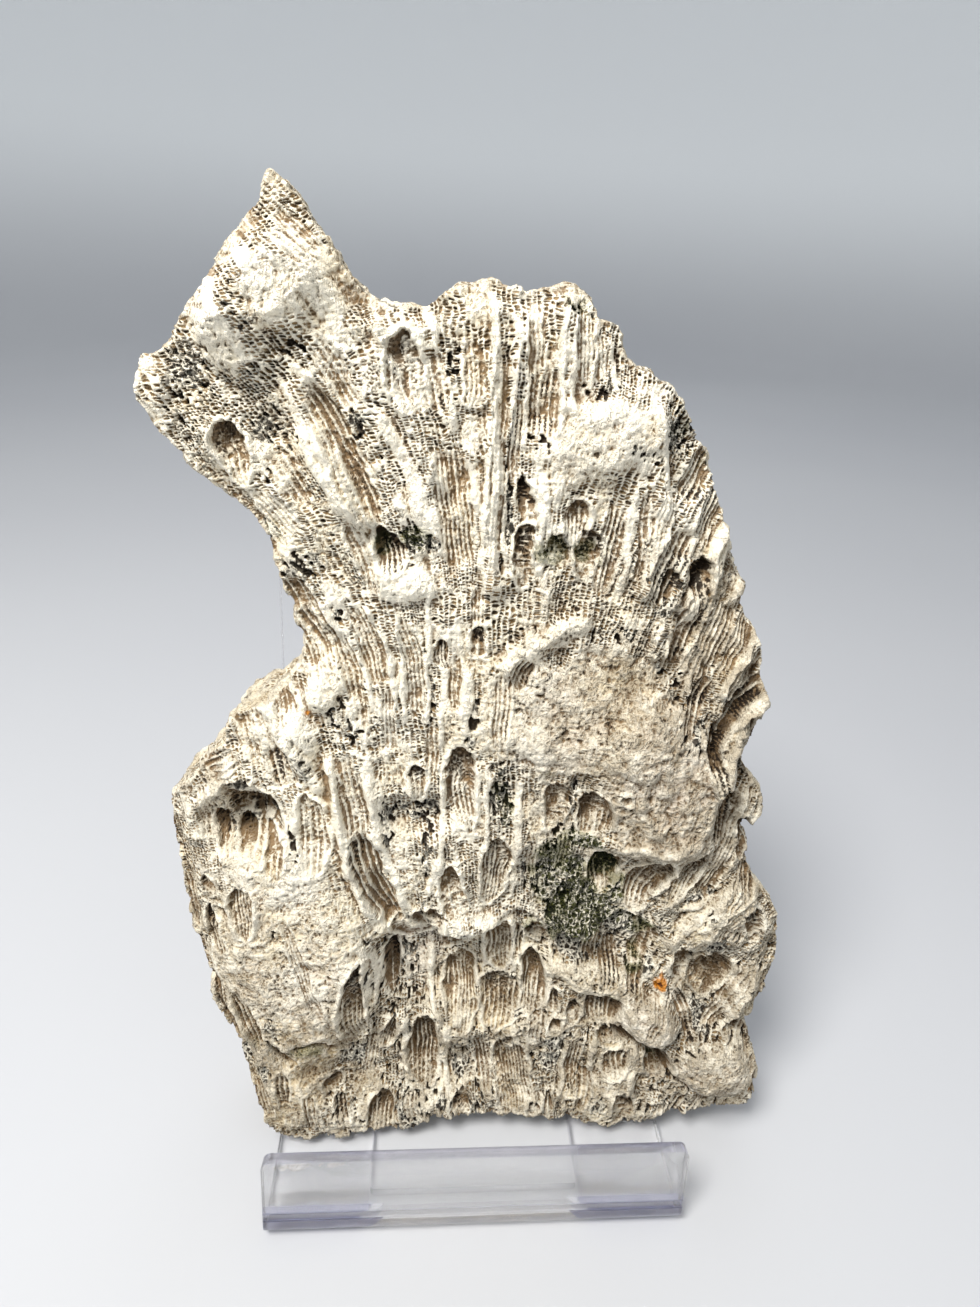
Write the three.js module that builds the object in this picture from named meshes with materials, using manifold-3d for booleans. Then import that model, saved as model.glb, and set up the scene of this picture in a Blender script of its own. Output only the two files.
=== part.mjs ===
// A weathered slice of fossil coral leaning on a clear one-piece easel.
// Millimetres, +Z up. The coral's face looks along -Y and the easel's lip runs along X.
import * as THREE from "three";
import Module from "manifold-3d";
import { mergeVertices } from "three/addons/utils/BufferGeometryUtils.js";

const wasm = await Module();
wasm.setup();

const degree = Math.PI / 180;

// ---------------------------------------------------------------- driving dimensions

// the easel, hot-bent from one clear sheet
const sheetThickness = 3;
const standWidth = 102;
const bendRadius = 3; // at the middle of the sheet
const lipLength = 22;
const lipLean = 11 * degree;
const backrestLean = 8.5 * degree;
const backrestLength = 162;
const windowWidth = 53; // the opening that the rear leg was cut from
const windowTop = 138; // up the backrest from the shelf
const lipWeb = 8; // left in front of the opening, behind the lip
const legWidth = 50;
const legLean = 27 * degree;
const cornerRadius = 2;

// the coral slice
const sliceThickness = 25; // sawn back to the middle of the weathered face
const faceSetback = 25; // lip front to the foot of the face
const contactGap = 0.3; // to the shelf and to the backrest
const outlineSpacing = 3.2;
const facePointSpacing = 2.8;
const levelBaseHeight = 26; // below this the base is worn level, to stand on the shelf
const rimDrop = 2.4; // how far the face falls back at its broken edge
const rimWidth = 5;
const edgeRoughness = 1.2;
const reliefScale = 1.25; // all lumps, hollows and tubes together
const growthStart = 60; // above this height the tubes fan out like a fountain
const growthRate = 0.0135;
const ribSpacing = 7;
const ribHeight = 0.75;

// ---------------------------------------------------------------- the slice's outline
// In the plane of the face: u to the right, v up from the shelf.

const outlineClockwise = [
  // horn
  [-44.5, 223.3], [-39.5, 219.5], [-37, 215], [-31.5, 209.7], [-26, 204.8], [-22, 204.2],
  // top edge
  [-17.5, 204.8], [-11.5, 207.8], [-4.2, 209.6], [4, 209], [13, 208.8], [17, 203.7], [20.5, 202.6],
  [23.3, 196.3], [29, 194], [33.5, 191.5],
  // right shoulder and flank
  [37.5, 186.7], [43.5, 180], [45.2, 174], [48.2, 167], [50.5, 160], [55, 151.6], [56, 145.5], [60, 139.5],
  [60.7, 133], [61.7, 126], [61.8, 119], [60.2, 112.5], [62.5, 104.5], [67, 99.5], [67.6, 95], [64.6, 90],
  [66, 83], [70, 74.5], [75.5, 67.2], [76.8, 60], [77, 51], [75.6, 44], [72.7, 32], [75.2, 23.5],
  [77, 15.5], [75.5, 9], [71, 6.3],
  // underside, standing on a left and a right lobe
  [63, 5.2], [54, 4], [45, 1.6], [38, 0.2], [31, 0.6], [24, 3], [13, 4.6], [2, 5], [-7, 4.2], [-15, 2.4],
  [-22, 1.2], [-29, 0.2], [-38, 0], [-48, 0.2],
  // lower left lobe
  [-53, 4.2], [-57, 12.5], [-60, 22], [-62, 31], [-67.2, 40], [-67, 48], [-70.5, 58], [-72.6, 68], [-73.8, 78],
  [-75.6, 87.5], [-73.4, 97.5], [-67.5, 104], [-64, 109.3], [-60.3, 112.5], [-59, 117], [-53.3, 121],
  // waist
  [-46, 126.8], [-43, 130.5], [-43.2, 137.5], [-45, 143.5], [-47.6, 151], [-50, 160.5],
  // shoulder left of the horn
  [-56.5, 165.8], [-62, 170.5], [-69, 178.3], [-72.8, 186], [-71.7, 191.8], [-67.3, 194.5], [-63.5, 200.5],
  [-57.5, 208.5], [-50, 215.2],
];

// ---------------------------------------------------------------- the weathered face
// Each lump and basin: centre u, v, half length, half width, turn in degrees, rise.

const lumps = [
  [-46, 206, 14, 8, 35, 3.2], // bulge under the horn
  [-54, 196.5, 10, 5.5, 122, 3], // tongue
  [-70, 187, 5, 4, 90, 1.2],
  [-36, 172, 12, 4, 120, 2],
  [18, 181, 14, 8, 12, 2.6], // smooth cap
  [-21, 150, 7, 4, 0, 1.6],
  [25.5, 136, 6, 4, 0, 1.8],
  [15, 119, 24, 13, 0, 2],
  [-43, 114, 7, 4, 105, 2.2],
  [-37, 126.5, 6, 4, 70, 2],
  [40, 104, 21, 15, 105, 4.6], // smooth mound
  [-46, 58, 36, 20, 95, 3.8], // lower left swelling
  [-30, 96, 20, 5, 100, 1.6],
  [44, 36, 9, 6, -38, 4.2],
  [30, 47, 12, 4, -15, 3],
  [64, 21, 14, 10, -20, 5], // foot of the right side
  [61, 69, 13, 5, 50, 2.8],
  [71, 42, 8, 6, 90, 1.6],
  [36, 11, 10, 6, 70, 2.2],
  [-48, 12, 12, 9, 100, 1.8],
];

const basins = [
  [-57, 92, 9, 7, 10, -5.5], // the deep cave of the left edge
  [-52, 96, 6, 4, 0, -2],
  [-17, 95, 9, 5, 0, -2],
  [20, 73, 20, 12, 0, -3.4],
  [-15, 49, 15, 13, 90, -3.8],
  [6, 46, 17, 14, 90, -2.8],
  [28, 56, 15, 6, 0, -2.4],
  [-20, 20, 22, 14, 0, -3.2],
  [10, 15, 22, 13, 0, -2.8],
  [58, 49, 9, 8, 60, -2.6],
  [38, 178, 9, 7, 120, -2.2],
  [-47, 184, 9, 7, 120, -1.6],
  [57, 97, 9, 4, 90, -2],
];

// Half tubes where the face cuts a coral cup lengthwise. The head is a steep arch and the
// floor runs out towards the foot: head u, v, foot u, v, width, depth.

const openTubes = [
  // left of the crown
  [-22.5, 199.5, -18, 185.5, 7, 3], [-8.5, 198, -8, 187.5, 4.5, 1.6], [-38, 188, -34, 180, 5, 2.2],
  [-34, 175, -24, 160, 5.5, 2.4], [-26, 161, -21.5, 152.5, 6, 4.6], [-11, 177, -8, 154, 7, 2],
  [-56, 180.5, -53, 171.5, 6, 4.2],
  // crown
  [3, 173.5, 4, 151, 5.5, 5], [10.5, 161.5, 12.5, 153.5, 5.5, 4.2], [18, 162, 17.5, 154, 6.5, 4.6],
  [14, 169.5, 15, 158, 5, 2], [23.5, 167, 20.5, 150, 4.5, 2.2],
  // right flank
  [39, 163, 32, 146, 6.5, 3.6], [44.5, 181, 38, 170, 6, 3], [46.5, 174, 42, 163, 5, 3], [46, 159, 41.5, 150, 5.5, 3.2],
  [45.5, 144, 40, 127, 5.5, 3], [50, 147, 43.5, 129, 6.5, 1.8], [51, 128, 46, 114, 5, 2.4],
  [60, 130, 51, 118, 4.5, 3.8], [51.5, 122, 51, 109, 4.5, 3.6], [60.5, 122, 57, 115, 4.5, 2.2],
  [60, 90, 53, 74, 7, 2.4], [62.5, 94, 62.5, 82, 5, 4.6], [66.5, 71, 71.5, 59, 6, 4],
  // waist
  [-44, 149, -33, 134, 5.5, 3.4], [-42, 142, -37.5, 129, 5, 1.8], [-29.5, 143, -25, 127, 5.5, 2.2],
  [-20, 141, -18, 123, 4.5, 1.6], [-13, 137, -11, 131, 5, 2],
  // left edge
  [-45, 113.5, -47, 102, 7.5, 3], [-55, 119, -53, 109, 5.5, 1.6], [-62, 108, -60, 100, 7, 2],
  [-61.5, 91, -58.5, 81, 4.5, 2.6], [-51.5, 89, -49.5, 77.5, 6.5, 3], [-57, 76, -56, 62, 7.5, 2.6],
  [-65, 71, -62.5, 57.5, 4.5, 3], [-65, 49, -60, 31, 4, 2.4], [-59.5, 46.5, -54, 32, 4, 2.8],
  // middle
  [-33.5, 109, -30, 91, 5.5, 2.2], [-31, 95, -21.5, 66.5, 6.5, 4.8], [-17.5, 107.5, -17, 99.5, 6, 2.6],
  [-6.5, 111, -4, 91, 8.5, 4.2], [2, 111, 2, 92, 6, 2.6], [2.5, 89, 3, 70, 6.5, 3.6], [-8, 82.5, -5, 65, 7, 4.6],
  [15, 103, 14, 90, 7, 3.8], [24.5, 102, 24.5, 89, 9, 4.8], [35, 98.5, 34, 92, 7, 2.6], [30, 85.5, 28, 70, 10, 3.6],
  [50, 87, 37, 69, 10, 4.2],
  // below the ledge
  [-13.5, 69, -16.5, 57, 10, 3.2], [-21.5, 57, -21, 38, 5.5, 4.2], [-31.5, 57.5, -31.5, 31, 6.5, 4],
  [-7.5, 62, -3, 31, 9.5, 4.2], [4, 63, 5.5, 49, 7, 3.8], [14.5, 63, 15, 56, 7, 3.6], [14, 54, 13, 35, 7.5, 4.8],
  [51.5, 57.5, 53, 48, 7, 4.2], [33, 43.5, 31, 33.5, 9, 4], [5, 44, 5, 31, 12, 2.6], [20, 36.5, 20, 29.5, 6, 3.6],
  [66.5, 39, 66, 31, 6, 4.6], [58, 57, 56, 42, 10, 3.6],
  // foot
  [-20.5, 35, -23, 25, 5, 3.2], [-13.5, 35, -13, 14, 9, 6], [4, 30, 11.5, 4, 9.5, 3], [19, 22.5, 18, 6, 9, 2.4],
  [37.5, 27, 35, 17.5, 8, 3.6], [48, 29, 47, 16.5, 9, 5.6], [39, 18, 38, 5, 6.5, 2.8], [58, 14.5, 55, 4, 10, 2.6],
  [-24.5, 13, -25, 0.5, 9, 5], [-34, 18, -33, 4, 7, 3.4], [-3, 14, -3, 4, 8, 4],
];

// Raised tube walls and wandering cracks: points, width, rise.

const seams = [
  { points: [[-42, 187], [-36, 176], [-29, 163]], width: 4, rise: 1.6 },
  { points: [[-27, 200], [-22, 186], [-13, 170]], width: 3.5, rise: 1.6 },
  { points: [[-3.5, 204], [-3, 180], [-2.5, 150]], width: 3.4, rise: 1.8 },
  { points: [[1, 200], [0.5, 180]], width: 3, rise: 1.2 },
  { points: [[10, 206], [11, 188]], width: 3.5, rise: 1.4 },
  { points: [[30, 187], [33, 168], [31, 150]], width: 3.6, rise: 1.6 },
  { points: [[50, 165], [47, 154], [42, 146]], width: 5, rise: 2.4 },
  { points: [[39, 156], [37, 146], [35, 136]], width: 3.6, rise: 1.8 },
  { points: [[2, 132.5], [9, 138], [18, 143]], width: 4.4, rise: 2.2 },
  { points: [[61, 127], [57, 119], [54, 106]], width: 6, rise: 3 },
  { points: [[59, 138], [53, 130], [51, 123]], width: 4, rise: 1.6 },
  { points: [[-50, 122], [-46, 114], [-40, 104]], width: 4, rise: 1.8 },
  { points: [[-36, 108], [-34, 92], [-28, 74]], width: 3.5, rise: 1.6 },
  { points: [[31, 33], [39, 30], [46, 26.5], [52, 20], [59, 14.5], [68, 11]], width: 4, rise: -3 },
  { points: [[-51, 31], [-47.5, 25.5], [-43.5, 28.5], [-36, 31.5]], width: 4, rise: -2.8 },
  { points: [[21, 135.5], [24, 131.5], [29, 132.5], [32, 134.5]], width: 3.4, rise: -2.2 },
  { points: [[-24, 62], [-8, 63.5], [4, 64], [18, 63.5], [27, 60]], width: 6, rise: 2 },
  { points: [[28, 88], [40, 86.5], [53, 88]], width: 5, rise: 1.4 },
];

// ---------------------------------------------------------------- numbers and noise

function clamp01(value) {
  return Math.min(1, Math.max(0, value));
}

function smoothStep(from, to, value) {
  const t = clamp01((value - from) / (to - from));
  return t * t * (3 - 2 * t);
}

// A repeatable number in 0..1 for a whole-number lattice point.
function latticeValue(i, j, seed) {
  const mixed = Math.sin(i * 127.1 + j * 311.7 + seed * 74.7) * 43758.5453;
  return mixed - Math.floor(mixed);
}

// Smooth value noise in -1..1 with features about one cell across.
function noise(x, y, cell, seed) {
  const i = Math.floor(x / cell);
  const j = Math.floor(y / cell);
  const a = smoothStep(0, 1, x / cell - i);
  const b = smoothStep(0, 1, y / cell - j);
  const low = THREE.MathUtils.lerp(latticeValue(i, j, seed), latticeValue(i + 1, j, seed), a);
  const high = THREE.MathUtils.lerp(latticeValue(i, j + 1, seed), latticeValue(i + 1, j + 1, seed), a);
  return 2 * THREE.MathUtils.lerp(low, high, b) - 1;
}

// ---------------------------------------------------------------- relief of the face

function ellipseRise(u, v, [centreU, centreV, halfLength, halfWidth, turn, rise]) {
  const cosine = Math.cos(turn * degree);
  const sine = Math.sin(turn * degree);
  const along = ((u - centreU) * cosine + (v - centreV) * sine) / halfLength;
  const across = ((v - centreV) * cosine - (u - centreU) * sine) / halfWidth;
  return rise * smoothStep(1.35, 0.45, Math.hypot(along, across));
}

function tubeFrame([headU, headV, footU, footV]) {
  const length = Math.hypot(footU - headU, footV - headV);
  return { length, alongU: (footU - headU) / length, alongV: (footV - headV) / length };
}

function tubeDrop(u, v, tube) {
  const [headU, headV, , , width, depth] = tube;
  const { length, alongU, alongV } = tubeFrame(tube);
  const along = (u - headU) * alongU + (v - headV) * alongV;
  const across = (v - headV) * alongU - (u - headU) * alongV;
  if (along < -width || along > length * 1.15 || Math.abs(across) > width) {
    return 0;
  }
  const radius = width / 2;
  const arch = Math.hypot(Math.min(along - radius, 0), across) / radius; // round at the head
  const section = smoothStep(1.08, 0.55, arch);
  const floor = 1 - smoothStep(0.35, 1.05, along / length);
  const lip = 0.22 * smoothStep(1.6, 1.15, arch) * smoothStep(0.85, 1.15, arch);
  return depth * (lip * clamp01(1.2 - along / length) - section * floor);
}

function seamRise(u, v, { points, width, rise }) {
  let nearest = Infinity;
  for (let k = 0; k + 1 < points.length; k += 1) {
    const [startU, startV] = points[k];
    const stepU = points[k + 1][0] - startU;
    const stepV = points[k + 1][1] - startV;
    const share = clamp01(((u - startU) * stepU + (v - startV) * stepV) / (stepU * stepU + stepV * stepV));
    nearest = Math.min(nearest, Math.hypot(u - startU - share * stepU, v - startV - share * stepV));
  }
  return rise * smoothStep(width * 0.8, 0, nearest);
}

// The step across the middle: the coral above it stands proud of the coral below.
function ledgeDrop(u, v) {
  const ledgeHeight = 63 + 3 * Math.sin(u * 0.22) + 2 * noise(u, 0, 9, 5);
  const span = smoothStep(-30, -22, u) * smoothStep(50, 38, u);
  return -2.6 * span * smoothStep(ledgeHeight + 1.5, ledgeHeight - 2, v) * smoothStep(24, 50, v);
}

// How far the face turns away at the upper right and at the lower left.
function flankDrop(u, v) {
  const right = Math.max(0, (u - 26) / 22) * smoothStep(125, 160, v);
  const left = Math.max(0, (-52 - u) / 18) * smoothStep(118, 96, v);
  return -3 * right * right - 3 * left * left;
}

// Ribs along the growth of the coral. As the fan widens, new ribs bud between the old ones.
function growthRibs(u, v) {
  const widening = Math.exp(growthRate * Math.max(0, v - growthStart));
  const octave = Math.log2(widening);
  const whole = Math.floor(octave);
  const across = u / widening + 0.6 * noise(u, v, 24, 7);
  const ribsAt = (level) => Math.cos((2 * Math.PI * across * 2 ** level) / ribSpacing);
  const blend = smoothStep(0.3, 0.7, octave - whole);
  return ribHeight * THREE.MathUtils.lerp(ribsAt(whole), ribsAt(whole + 1), blend);
}

function reliefHeight(u, v) {
  let relief = ledgeDrop(u, v) + flankDrop(u, v) + growthRibs(u, v);
  for (const ellipse of [...lumps, ...basins]) {
    relief += ellipseRise(u, v, ellipse);
  }
  for (const tube of openTubes) {
    relief += tubeDrop(u, v, tube);
  }
  for (const seam of seams) {
    relief += seamRise(u, v, seam);
  }
  relief += 0.7 * noise(u, v, 7, 1) + 0.35 * noise(u, v, 3.1, 2);
  return sliceThickness + reliefScale * relief;
}

// ---------------------------------------------------------------- points of the face

function makeOutline() {
  const corners = outlineClockwise.map(([u, v]) => new THREE.Vector3(u, v, 0)).reverse();
  const curve = new THREE.CatmullRomCurve3(corners, true, "centripetal");
  const count = Math.round(curve.getLength() / outlineSpacing);
  const smooth = curve.getSpacedPoints(count).slice(0, count);
  const points = smooth.map((point) => new THREE.Vector2(point.x, point.y));
  return insetOutline(points, (k) => edgeRoughness * 0.6 * (latticeValue(k, 0, 9) - 0.4));
}

// The outline moved inwards by a distance that may differ from point to point.
function insetOutline(outline, distanceAt) {
  return outline.map((point, k) => {
    const before = outline[(k + outline.length - 1) % outline.length];
    const after = outline[(k + 1) % outline.length];
    const inward = new THREE.Vector2(before.y - after.y, after.x - before.x).normalize();
    return point.clone().addScaledVector(inward, distanceAt(k));
  });
}

function isInside(polygon, point) {
  let inside = false;
  for (let k = 0, previous = polygon.length - 1; k < polygon.length; previous = k, k += 1) {
    const a = polygon[k];
    const b = polygon[previous];
    const crosses = a.y > point.y !== b.y > point.y;
    if (crosses && point.x < a.x + ((b.x - a.x) * (point.y - a.y)) / (b.y - a.y)) {
      inside = !inside;
    }
  }
  return inside;
}

function distanceToPolygon(polygon, point) {
  let nearest = Infinity;
  for (let k = 0; k < polygon.length; k += 1) {
    const start = polygon[k];
    const step = polygon[(k + 1) % polygon.length].clone().sub(start);
    const share = clamp01(point.clone().sub(start).dot(step) / step.lengthSq());
    nearest = Math.min(nearest, start.clone().addScaledVector(step, share).distanceTo(point));
  }
  return nearest;
}

// Points along each open tube: its rounded rim, its flanks and its floor.
function tubePoints() {
  const points = [];
  for (const tube of openTubes) {
    const [headU, headV, , , width] = tube;
    const { length, alongU, alongV } = tubeFrame(tube);
    const place = (along, across) =>
      new THREE.Vector2(headU + along * alongU - across * alongV, headV + along * alongV + across * alongU);
    points.push(place(-0.3, 0), place(width * 0.35, 0));
    for (let along = width / 2; along < length * 0.95; along += 3) {
      points.push(place(along, width * 0.54), place(along, -width * 0.54), place(along + 1.4, 0));
    }
  }
  return points;
}

function gridPoints() {
  const points = [];
  const rowSpacing = facePointSpacing * 0.866;
  for (let row = 0; row * rowSpacing < 230; row += 1) {
    for (let column = -28; column <= 28; column += 1) {
      const u = (column + (row % 2) / 2 + 0.28 * (latticeValue(row, column, 3) - 0.5)) * facePointSpacing;
      const v = (row + 0.28 * (latticeValue(row, column, 4) - 0.5)) * rowSpacing;
      points.push(new THREE.Vector2(u, v));
    }
  }
  return points;
}

function facePoints(rim) {
  const kept = [];
  const addApart = (candidates, apart) => {
    for (const point of candidates) {
      const free = kept.every((other) => other.distanceTo(point) > apart);
      if (free && isInside(rim, point) && distanceToPolygon(rim, point) > outlineSpacing * 0.55) {
        kept.push(point);
      }
    }
  };
  addApart(tubePoints(), 1.5);
  addApart(gridPoints(), 2.1);
  return kept;
}

// ---------------------------------------------------------------- Delaunay triangles

function circleOf(points, a, b, c) {
  const bx = points[b].x - points[a].x;
  const by = points[b].y - points[a].y;
  const dx = points[c].x - points[a].x;
  const dy = points[c].y - points[a].y;
  const twiceArea = 2 * (bx * dy - by * dx);
  const x = (dy * (bx * bx + by * by) - by * (dx * dx + dy * dy)) / twiceArea;
  const y = (bx * (dx * dx + dy * dy) - dx * (bx * bx + by * by)) / twiceArea;
  return { corners: [a, b, c], x: points[a].x + x, y: points[a].y + y, radiusSquared: x * x + y * y };
}

// Each point in turn replaces the triangles whose circle holds it by a fan round itself.
function triangulate(points) {
  const count = points.length;
  const all = [...points, new THREE.Vector2(-3000, -2500), new THREE.Vector2(3000, -2500), new THREE.Vector2(0, 4000)];
  let triangles = [circleOf(all, count, count + 1, count + 2)];
  for (let k = 0; k < count; k += 1) {
    const edges = new Map();
    const kept = [];
    for (const triangle of triangles) {
      if ((all[k].x - triangle.x) ** 2 + (all[k].y - triangle.y) ** 2 >= triangle.radiusSquared) {
        kept.push(triangle);
        continue;
      }
      const [a, b, c] = triangle.corners;
      for (const [from, to] of [[a, b], [b, c], [c, a]]) {
        if (!edges.delete(`${to} ${from}`)) {
          edges.set(`${from} ${to}`, [from, to]);
        }
      }
    }
    for (const [from, to] of edges.values()) {
      kept.push(circleOf(all, from, to, k));
    }
    triangles = kept;
  }
  return triangles.map(({ corners }) => corners).filter((corners) => corners.every((k) => k < count));
}

// ---------------------------------------------------------------- the coral slice

// A point of the slice in the part's frame, from the sawn back (depth 0) to the face.
function placeOnSlice(u, v, depth) {
  const share = 1 - clamp01(v / levelBaseHeight);
  const levelV = Math.max(v, 0) + (sliceThickness - depth) * Math.tan(backrestLean) * share;
  const backY = faceSetback + sliceThickness * Math.cos(backrestLean);
  const backZ = sheetThickness + contactGap - sliceThickness * Math.sin(backrestLean);
  return new THREE.Vector3(
    u,
    backY + levelV * Math.sin(backrestLean) - depth * Math.cos(backrestLean),
    backZ + levelV * Math.cos(backrestLean) + depth * Math.sin(backrestLean),
  );
}

function makeCoral() {
  const outline = makeOutline();
  const rim = insetOutline(outline, () => 1.4);
  const inner = facePoints(rim);
  const face = [...rim, ...inner];
  const count = outline.length;
  const depthOfFace = (point, k) => {
    const edge = k < count ? 0 : distanceToPolygon(rim, point);
    return reliefHeight(point.x, point.y) - rimDrop * (1 - smoothStep(0, rimWidth, edge));
  };
  const positions = face.map((point, k) => placeOnSlice(point.x, point.y, depthOfFace(point, k)));
  const indices = [];
  for (const [a, b, c] of triangulate(face)) {
    const middle = face[a].clone().add(face[b]).add(face[c]).multiplyScalar(1 / 3);
    if (isInside(rim, middle)) {
      indices.push(a, b, c);
    }
  }

  // the broken edge, ring by ring from the rim to the sawn back
  const rims = rim.map((point, k) => depthOfFace(point, k));
  const rings = [
    { inset: (k) => edgeRoughness * 0.3 * noise(k, 0, 2.4, 11), depth: (k) => rims[k] - 2.6 },
    { inset: (k) => 0.9 + edgeRoughness * noise(k, 0, 2.7, 12), depth: (k) => rims[k] * 0.62 },
    { inset: (k) => 0.9 + edgeRoughness * noise(k, 0, 3.3, 14), depth: (k) => rims[k] * 0.34 },
    { inset: (k) => 0.6 + edgeRoughness * 0.6 * noise(k, 0, 2.9, 13), depth: () => 2.8 },
    { inset: () => 2.6, depth: () => 0 },
  ];
  let previousStart = 0;
  for (const { inset, depth } of rings) {
    const start = positions.length;
    insetOutline(outline, inset).forEach((point, k) => positions.push(placeOnSlice(point.x, point.y, depth(k))));
    for (let k = 0; k < count; k += 1) {
      const next = (k + 1) % count;
      indices.push(previousStart + k, start + k, previousStart + next);
      indices.push(previousStart + next, start + k, start + next);
    }
    previousStart = start;
  }
  const back = insetOutline(outline, rings[rings.length - 1].inset);
  for (const [a, b, c] of THREE.ShapeUtils.triangulateShape(back, [])) {
    indices.push(previousStart + a, previousStart + c, previousStart + b);
  }

  const geometry = new THREE.BufferGeometry();
  geometry.setAttribute("position", new THREE.Float32BufferAttribute(positions.flatMap((p) => p.toArray()), 3));
  geometry.setIndex(indices);
  geometry.computeVertexNormals();
  const material = new THREE.MeshStandardMaterial({ color: "#d8d1c1", roughness: 0.95, metalness: 0 });
  const mesh = new THREE.Mesh(geometry, material);
  mesh.name = "coral_slab";
  return mesh;
}

// ---------------------------------------------------------------- the easel

// The side view of a bent sheet as a shape in (y, z), from its middle line's corners.
function bentSheetShape(corners, radius, bendSteps) {
  const half = sheetThickness / 2;
  const samples = [];
  const direction = (k) => corners[k + 1].clone().sub(corners[k]).normalize();
  samples.push({ at: corners[0], along: direction(0) });
  for (let k = 1; k + 1 < corners.length; k += 1) {
    const entering = direction(k - 1);
    const leaving = direction(k);
    const turn = Math.atan2(entering.cross(leaving), entering.dot(leaving));
    const tangent = radius * Math.tan(Math.abs(turn) / 2);
    const side = Math.sign(turn);
    const start = corners[k].clone().addScaledVector(entering, -tangent);
    const centre = start.clone().add(new THREE.Vector2(-entering.y, entering.x).multiplyScalar(side * radius));
    for (let step = 0; step <= bendSteps; step += 1) {
      const angle = (turn * step) / bendSteps;
      const at = start.clone().rotateAround(centre, angle);
      samples.push({ at, along: entering.clone().rotateAround(new THREE.Vector2(), angle) });
    }
  }
  samples.push({ at: corners[corners.length - 1], along: direction(corners.length - 2) });
  const offset = ({ at, along }, distance) => new THREE.Vector2(at.x - along.y * distance, at.y + along.x * distance);
  const left = samples.map((sample) => offset(sample, half));
  const right = samples.map((sample) => offset(sample, -half)).reverse();
  return new THREE.Shape([...left, ...right]);
}

// A (y, z) shape made solid along x, centred on x = 0.
function extrudeAcross(shape, width) {
  const geometry = new THREE.ExtrudeGeometry(shape, { depth: width, bevelEnabled: false });
  geometry.translate(0, 0, -width / 2);
  geometry.applyMatrix4(new THREE.Matrix4().set(0, 0, 1, 0, 1, 0, 0, 0, 0, 1, 0, 0, 0, 0, 0, 1));
  return geometry;
}

function boxBetween(low, high) {
  const size = high.clone().sub(low);
  const geometry = new THREE.BoxGeometry(size.x, size.y, size.z);
  geometry.translate(low.x + size.x / 2, low.y + size.y / 2, low.z + size.z / 2);
  return geometry;
}

function toSolid(geometry) {
  const plain = geometry.clone();
  plain.deleteAttribute("normal");
  plain.deleteAttribute("uv");
  const merged = mergeVertices(plain, 1e-4);
  const vertProperties = new Float32Array(merged.getAttribute("position").array);
  return new wasm.Manifold(new wasm.Mesh({ numProp: 3, vertProperties, triVerts: new Uint32Array(merged.index.array) }));
}

function toGeometry(solid) {
  const { vertProperties, triVerts } = solid.getMesh();
  const geometry = new THREE.BufferGeometry();
  geometry.setAttribute("position", new THREE.BufferAttribute(new Float32Array(vertProperties), 3));
  geometry.setIndex(new THREE.BufferAttribute(new Uint32Array(triVerts), 1));
  geometry.computeVertexNormals();
  return geometry;
}

// A plate with rounded corners seen from the front, standing from z = 0 and deep along y.
function roundedPlate(width, height, radius, depth) {
  const half = width / 2;
  const shape = new THREE.Shape();
  shape.absarc(half - radius, radius, radius, -Math.PI / 2, 0, false);
  shape.absarc(half - radius, height - radius, radius, 0, Math.PI / 2, false);
  shape.absarc(radius - half, height - radius, radius, Math.PI / 2, Math.PI, false);
  shape.absarc(radius - half, radius, radius, Math.PI, Math.PI * 1.5, false);
  const geometry = new THREE.ExtrudeGeometry(shape, { depth, bevelEnabled: false, curveSegments: 5 });
  geometry.rotateX(Math.PI / 2);
  geometry.translate(0, depth, 0);
  return geometry;
}

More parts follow.
